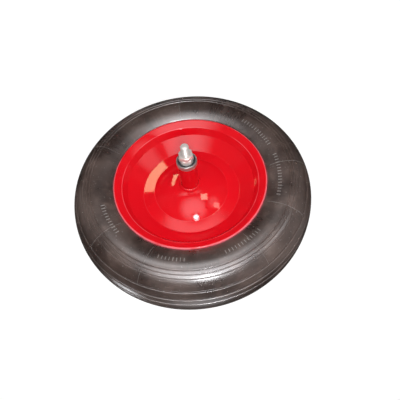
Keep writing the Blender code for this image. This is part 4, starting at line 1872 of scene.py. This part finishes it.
@dataclass
class Valve(SubAssembly):
    """The bent valve at the bottom of the wheel, with its nut, core and cap.

    Attributes:
        bend: radius of the stem's bend.
        end: height of the stem's end.
        nut_across: size of the nut across its flats.
        core: radius of the core.
        core_length: length of the core in the stem.
        core_out: how far the core stands out.
        cap_wall: thickness of the cap.
        cap_length: length of the cap.
        cap_rib: how far the cap's ribs stand out.
        cap_ribs: how many there are.
        stem_edge: chamfer of the stem's end.
        corners: corners round the stem.
    """

    bend: float = 0.006
    end: float = 0.034
    nut_across: float = 0.012
    core: float = 0.0018
    core_length: float = 0.008
    core_out: float = 0.0008
    cap_wall: float = 0.0012
    cap_length: float = 0.011
    cap_rib: float = 0.0003
    cap_ribs: int = 24
    stem_edge: float = 0.0004
    corners: int = 32

    def build(self, brass: BareMetal, plastic: MouldedPlastic) -> None:
        """Makes the stem, nut, core and cap.

        Args:
            brass: finish of the stem, the nut and the core.
            plastic: finish of the cap.
        """
        self._stem(brass)
        self._nut(brass)
        axis = Vector((0.0, 0.0, -self.sizes.valve_radius))
        low = self.end - self.core_length
        top = self.end + self.core_out
        edge = 0.0003
        outline = [(0.0, top), (self.core - edge, top), (self.core, top - edge), (self.core, low), (0.0, low)]
        material = brass.material("valve_core_brass")
        core = self.shop.turned("valve_core_pin", outline, material, segments=24, closed=False, centre=axis)
        self.shop.hand_over(core, "wheel", brass.slot, "valve_core")
        self._cap(plastic, axis)

    def _stem(self, brass: BareMetal) -> None:
        """Makes the bent stem with the pocket for the core.

        Args:
            brass: its finish.
        """
        start = self.sizes.tape_outside + self.sizes.gap + self.sizes.tube_wall
        axis = self.sizes.valve_radius
        steps = 11
        bend = arc((axis + self.bend, self.bend), self.bend, -90, -180, steps + 1)
        outer = self.sizes.stem_radius
        pocket = self.core + self.sizes.gap
        floor = self.end - self.core_length - self.sizes.gap
        route = [(start, 0.0, 0.0), (start, 0.0, outer), *((r, h, outer) for r, h in bend)]
        route += [(axis, self.end - self.stem_edge, outer), (axis, self.end, outer - self.stem_edge)]
        route += [(axis, self.end, pocket), (axis, floor, pocket), (axis, floor, 0.0)]
        rings = []
        for i, (r, h, radius) in enumerate(route):
            bent = min(max((i - 1) / steps, 0.0), 1.0) * math.pi / 2
            ring = []
            for corner in range(self.corners):
                around = 2 * math.pi * corner / self.corners
                out = radius * math.sin(around)
                place = (radius * math.cos(around), h - out * math.cos(bent), -r + out * math.sin(bent))
                ring.append(Vector(place))
            rings.append(ring)
        stem = self.shop.skinned("valve_stem_bent", rings, brass.material("valve_stem_brass"))
        self.shop.hand_over(stem, "wheel", brass.slot, "valve_stem")

    def _nut(self, brass: BareMetal) -> None:
        """Makes the nut against the well.

        Args:
            brass: its finish.
        """
        box_low, box_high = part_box("valve_nut")
        low = -box_high[2]
        top = -box_low[2]
        bore = self.sizes.stem_radius + self.sizes.gap
        edge = 0.0003
        rows = [
            (HexRow.ROUND, bore, low + edge),
            (HexRow.ROUND, bore + edge, low),
            (HexRow.FACE, 0.0, low),
            (HexRow.LOWER_EDGE, 0.0, low),
            (HexRow.SIDE, 0.0, top),
            (HexRow.ROUND, bore, top),
        ]
        pose = Matrix.Rotation(math.radians(-90), 4, "X")
        material = brass.material("valve_nut_brass")
        nut = self.shop.hexagonal(
            "valve_nut_machined", self.nut_across, rows, material, Side.REAR, turn=0.0, pose=pose
        )
        self.shop.hand_over(nut, "wheel", brass.slot, "valve_nut")

    def _cap(self, plastic: MouldedPlastic, axis: Vector) -> None:
        """Makes the ribbed cap.

        Args:
            plastic: its finish.
            axis: a point on the valve's axis.
        """
        inner = self.sizes.stem_radius + self.sizes.gap
        outer = inner + self.cap_wall - self.cap_rib
        ceiling = self.end + self.core_out + self.sizes.gap
        top = ceiling + self.cap_wall
        low = top - self.cap_length
        edge = 0.0005
        plain = 0.002
        outline = [
            (0.0, top),
            (outer - edge, top),
            (outer, top - edge),
            (outer, low + plain),
            (outer, low),
            (inner, low),
            (inner, ceiling),
            (0.0, ceiling),
        ]
        cap = self.shop.turned(
            "valve_cap_ribbed",
            outline,
            plastic.material("valve_cap_plastic"),
            closed=False,
            segments=self.cap_ribs * 6,
            ripple=Ripple(depth=self.cap_rib, count=self.cap_ribs),
            swells=[0.0, 0.0, 1.0, 1.0, 0.0, 0.0, 0.0, 0.0],
            centre=axis,
        )
        self.shop.hand_over(cap, "wheel", plastic.slot, "valve_cap")


# Floor, light and camera


class Seen(Enum):
    """The pieces that mirror a card, as the name of their collection."""

    BY_ALL = "all_pieces"
    BY_PAINT = "discs_and_tube"
    BY_OTHERS = "rubber_and_bare_metal"


@dataclass(frozen=True)
class Lamp:
    """A soft lamp that faces the wheel and that no surface mirrors.

    Attributes:
        name: its name.
        place: where it hangs.
        width: its width.
        height: its height.
        watts: its power.
        shape: its outline.
    """

    name: str
    place: tuple[float, float, float]
    width: float
    height: float
    watts: float
    shape: str = "RECTANGLE"

    def hang(self) -> None:
        """Hangs the lamp."""
        light = bpy.data.lights.new(self.name, "AREA")
        light.shape = self.shape
        light.size = self.width
        light.size_y = self.height
        light.energy = self.watts
        lamp = bpy.data.objects.new(self.name, light)
        lamp.location = self.place
        lamp.rotation_euler = (-Vector(self.place)).to_track_quat("-Z", "Y").to_euler()
        lamp.visible_glossy = False
        bpy.context.scene.collection.objects.link(lamp)


@dataclass(frozen=True)
class Card:
    """A glowing card that shows only in reflections.

    Attributes:
        name: its name.
        place: its middle.
        width: its width.
        height: its height.
        colour: its colour as seen in a mirror.
        fade: distance from its middle at which it has faded out, 0 for an even card.
        flat: whether it lies flat, in place of facing the wheel.
        heading: turn of a flat card about the upright, in degrees.
        seen: the pieces that mirror it.
        fade_start: share of the fade where it starts to fade.
        faded: the colour that it fades to.
    """

    name: str
    place: tuple[float, float, float]
    width: float
    height: float
    colour: Colour
    fade: float = 0.0
    flat: bool = False
    heading: float = 0.0
    seen: Seen = Seen.BY_ALL
    fade_start: float = 0.3
    faded: Colour = (0.10, 0.09, 0.085)

    def stand(self, receivers: dict[Seen, bpy.types.Collection]) -> None:
        """Sets up the card.

        Args:
            receivers: the pieces that mirror the cards that not all pieces mirror.
        """
        mesh = bpy.data.meshes.new(self.name)
        mesh.from_pydata(self._corners(), [], [(0, 1, 2, 3)])
        mesh.materials.append(self._material())
        card = bpy.data.objects.new(self.name, mesh)
        bpy.context.scene.collection.objects.link(card)
        card.visible_camera = False
        card.visible_diffuse = False
        card.visible_transmission = False
        card.visible_shadow = False
        if self.seen in receivers:
            card.light_linking.receiver_collection = receivers[self.seen]

    def _corners(self) -> list[Vector]:
        """The card's corners in order."""
        place = Vector(self.place)
        if self.flat:
            turn = Matrix.Rotation(math.radians(self.heading), 4, "Z")
        else:
            turn = (-place).to_track_quat("-Z", "Y").to_matrix().to_4x4()
        stand = Matrix.Translation(place) @ turn
        signs = ((-1, -1), (1, -1), (1, 1), (-1, 1))
        return [stand @ Vector((x * self.width / 2, y * self.height / 2, 0.0)) for x, y in signs]

    def _material(self) -> Material:
        """The card's glow."""
        material, graph = new_material(self.name)
        glow = graph.add("ShaderNodeEmission", {"Color": (*self.colour, 1.0), "Strength": 1.0})
        if self.fade:
            inputs = {0: graph.add("ShaderNodeTexCoord").out("Object"), 1: self.place}
            away = graph.add("ShaderNodeVectorMath", inputs, {"operation": "DISTANCE"}).out("Value")
            colour = graph.mix(away.ramp(self.fade * self.fade_start, self.fade), self.colour, self.faded)
            graph.tree.links.new(colour.socket, glow.node.inputs["Color"])
        graph.add("ShaderNodeOutputMaterial", {"Surface": glow.out(0)})
        return material


@dataclass
class Studio:
    """The floor, the light and the camera.

    Attributes:
        floor: height of the floor.
        floor_half: half the floor's width.
        dusk: colour of the large cards in front and above.
        dark: colour of the large cards behind and on the left.
        camera_place: where the camera is.
        camera_right: direction of the picture's right-hand side.
        camera_up: direction of the picture's top.
        lens: focal length in millimetres.
    """

    floor: float = -0.186
    floor_half: float = 6.0
    dusk: Colour = (0.12, 0.105, 0.10)
    dark: Colour = (0.035, 0.03, 0.028)
    camera_place: tuple[float, float, float] = (0.0, -0.63012, 0.39558)
    camera_right: tuple[float, float, float] = (-0.98681, 0.07089, 0.14553)
    camera_up: tuple[float, float, float] = (-0.16119, -0.51290, -0.84318)
    lens: float = 42.03

    def build(self) -> None:
        """Makes the floor, the world, the lamps, the cards and the camera."""
        scene = bpy.context.scene
        scene.view_settings.view_transform = "Standard"
        self._world(scene)
        self._ground()
        for lamp in self._lamps():
            lamp.hang()
        receivers = self._receivers()
        for card in [*self._large_cards(), *self._bright_cards()]:
            card.stand(receivers)
        self._camera(scene)

    @staticmethod
    def _seen(graph: Graph) -> Flow:
        """Tells the rays that see from those that light.

        Args:
            graph: the tree of the world or a material.

        Returns:
            1 for rays from the camera and for mirror and glass rays, 0 for those that light the wheel.
        """
        path = graph.add("ShaderNodeLightPath")
        seen = path.out("Is Camera Ray").math("MAXIMUM", path.out("Is Glossy Ray"))
        return seen.math("MAXIMUM", path.out("Is Transmission Ray"))

    def _world(self, scene: bpy.types.Scene) -> None:
        """Makes a white world that lights the wheel softly.

        Args:
            scene: the scene.
        """
        world = bpy.data.worlds.new("white_room")
        scene.world = world
        world.use_nodes = True
        world.node_tree.nodes.clear()
        graph = Graph(world.node_tree)
        white = (1.0, 1.0, 1.0, 1.0)
        lighting = graph.add("ShaderNodeBackground", {"Color": white, "Strength": 0.42})
        background = graph.add("ShaderNodeBackground", {"Color": white, "Strength": 1.0})
        inputs = {0: self._seen(graph), 1: lighting.out(0), 2: background.out(0)}
        mixed = graph.add("ShaderNodeMixShader", inputs)
        graph.add("ShaderNodeOutputWorld", {"Surface": mixed.out(0)})

    def _ground(self) -> None:
        """Makes the white floor, which keeps a faint shadow."""
        half = self.floor_half
        mesh = bpy.data.meshes.new("floor")
        corners = [(-half, -half), (half, -half), (half, half), (-half, half)]
        mesh.from_pydata([(x, y, self.floor) for x, y in corners], [], [(0, 1, 2, 3)])
        floor = bpy.data.objects.new("floor", mesh)
        bpy.context.scene.collection.objects.link(floor)
        material, graph = new_material("floor_white")
        chalk = graph.add("ShaderNodeBsdfDiffuse", {"Color": (0.85, 0.85, 0.85, 1.0)})
        glow = graph.add("ShaderNodeEmission", {"Color": (1.0, 1.0, 1.0, 1.0), "Strength": 1.07})
        share = self._seen(graph) * 0.92
        mixed = graph.add("ShaderNodeMixShader", {0: share, 1: chalk.out(0), 2: glow.out(0)})
        graph.add("ShaderNodeOutputMaterial", {"Surface": mixed.out(0)})
        mesh.materials.append(material)

    @staticmethod
    def _lamps() -> list[Lamp]:
        """The soft lamps in front and behind, and a small one by the camera."""
        return [
            Lamp("front_softbox", (-0.18, -1.10, 0.58), 1.2, 0.6, 8.4),
            Lamp("rear_softbox", (0.30, 1.10, 0.50), 1.0, 0.6, 9.5),
            Lamp("flash", (-0.01, -0.66, 0.55), 0.095, 0.095, 2.0, "ELLIPSE"),
        ]

    @staticmethod
    def _receivers() -> dict[Seen, bpy.types.Collection]:
        """Sorts the pieces by the cards that they mirror.

        Returns:
            The collection for each kind of card that not all pieces mirror.
        """
        groups = {seen: bpy.data.collections.new(seen.value) for seen in (Seen.BY_PAINT, Seen.BY_OTHERS)}
        for piece in [piece for piece in bpy.data.objects if piece.type == "MESH"]:
            names = [material.name for material in piece.data.materials if material]
            if any(name.endswith(("disc_paint", "tube_paint")) for name in names):
                groups[Seen.BY_PAINT].objects.link(piece)
            elif not any(name.endswith("_paint") for name in names):
                groups[Seen.BY_OTHERS].objects.link(piece)
        return groups

    def _large_cards(self) -> list[Card]:
        """The large cards all round, which give the gloss its dark parts."""
        right = (0.17, 0.155, 0.15)
        under = (0.02, 0.018, 0.017)
        low = self.floor + 0.0004
        return [
            Card("front_card", (0.0, -2.2, 0.3), 7.0, 4.2, self.dusk),
            Card("rear_card", (0.0, 2.2, 0.3), 7.0, 4.2, self.dark),
            Card("left_card", (2.4, 0.0, 0.5), 5.0, 4.2, self.dark),
            Card("right_card", (-2.4, 0.0, 0.5), 5.0, 4.2, right),
            Card("top_card", (0.0, 0.05, 2.3), 6.0, 6.0, self.dusk),
            Card("near_floor_card", (0.0, -1.5, low), 6.0, 3.0, self.dusk, flat=True),
            Card("far_floor_card", (0.0, 1.5, low), 6.0, 3.0, self.dark, flat=True),
            Card("under_card", (0.0, -0.19, self.floor + 0.0006), 0.8, 0.64, under, flat=True),
        ]

    def _bright_cards(self) -> list[Card]:
        """The bright cards, which give the gloss its highlights."""
        paint, others = Seen.BY_PAINT, Seen.BY_OTHERS
        bright_floor = (0.06, -0.95, self.floor + 0.0008)
        strip = (0.120, -0.178, self.floor + 0.001)
        turn = -53.3
        return [
            Card("bright_wall", (0.04, -1.40, 0.54), 2.0, 1.4, (2.5, 2.45, 2.52), 0.94),
            Card("bright_floor", bright_floor, 0.9, 0.8, (2.1, 2.03, 2.05), 0.42, flat=True),
            Card("rubber_wall", (-0.10, -1.36, 0.88), 1.2, 0.8, (5.2, 5.1, 5.2), 0.52, seen=others),
            Card("rear_wall", (0.10, 1.10, 1.05), 1.4, 0.7, (0.65, 0.65, 0.66), 0.6),
            Card("side_glow", (-0.95, -1.15, 0.25), 0.9, 0.8, (1.3, 1.25, 1.25), 0.42),
            Card("low_window", (-0.51, -1.34, -0.02), 0.30, 0.30, (6.5, 7.5, 5.6), seen=paint),
            Card("floor_strip", strip, 0.161, 0.034, (6.5, 6.4, 3.8), 0.0, True, turn, paint),
            Card("side_window", (-0.864, -0.832, 0.32), 0.256, 0.208, (6.5, 4.9, 4.1), seen=paint),
            Card("rear_window", (0.95, 1.15, 0.42), 0.34, 0.32, (3.0, 3.0, 3.1)),
            Card("flash_glass", (-0.011, -0.70, 0.58), 0.26, 0.26, (28.0, 28.0, 28.6), 0.12),
        ]

    def _camera(self, scene: bpy.types.Scene) -> None:
        """Places the camera.

        Args:
            scene: the scene.
        """
        right = Vector(self.camera_right).normalized()
        up = Vector(self.camera_up)
        up = (up - right * up.dot(right)).normalized()
        back = right.cross(up)
        data = bpy.data.cameras.new("camera")
        data.lens = self.lens
        data.sensor_width = 36.0
        camera = bpy.data.objects.new("camera", data)
        turn = Matrix((right, up, back)).transposed().to_4x4()
        camera.matrix_world = Matrix.Translation(self.camera_place) @ turn
        scene.collection.objects.link(camera)
        scene.camera = camera


def main() -> None:
    """Builds the wheel and the studio."""
    logging.basicConfig(level=logging.INFO, format="%(name)s: %(message)s")
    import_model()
    paint = GlossyPaint(
        "red_paint",
        (0.69, 0.005, 0.012),
        0.5,
        specular=0.0,
        coat=1.0,
        coat_roughness=0.07,
        # Painted highlights along the dome's edge, the valley and the hoop's fold.
        crests=((0.0575, 0.0004, 0.30), (0.0755, 0.0004, 0.22), (0.1046, 0.0007, 0.55)),
    )
    rubber = MouldedRubber(
        "tyre",
        (0.038, 0.020, 0.0155),
        0.34,
        specular=1.0,
        coat=1.0,
        coat_roughness=0.26,
        coat_ior=2.6,
        grooves=((0.1625, 0.0012), (0.157, 0.0012), (0.1515, 0.0012)),
    )
    raised = MouldedRubber("tyre", (0.20, 0.18, 0.17), 0.5, bloom=(0.32, 0.30, 0.28))
    soft = MouldedRubber("soft_rubber", (0.018, 0.018, 0.018), 0.6)
    zinc = BareMetal("zinc", (0.93, 0.86, 0.82), 0.30, 0.6)
    cup = BareMetal("cup_steel", (0.50, 0.51, 0.50), 0.34, 0.8)
    shield = BareMetal("shield_steel", (0.16, 0.16, 0.17), 0.42, 1.0)
    ball = BareMetal("ball_steel", (0.62, 0.62, 0.64), 0.14, 1.0, tool_marks=0.000005)
    brass = BareMetal("brass", (0.72, 0.52, 0.22), 0.30, 1.0)
    plastic = MouldedPlastic("cap_plastic", (0.02, 0.02, 0.02), 0.42)
    shop = Workshop()
    sizes = WheelSizes()
    Tyre(shop, sizes).build(rubber, raised, soft)
    rim = Rim(shop, sizes)
    rim.build(paint, soft)
    hub = Hub(shop, sizes, rim)
    hub.build(paint, cup, shield, ball)
    AxleSet(shop, sizes, hub).build(zinc)
    Valve(shop, sizes).build(brass, plastic)
    LOG.info("%d pieces", shop.pieces)
    Studio().build()


if __name__ == "__main__":
    main()
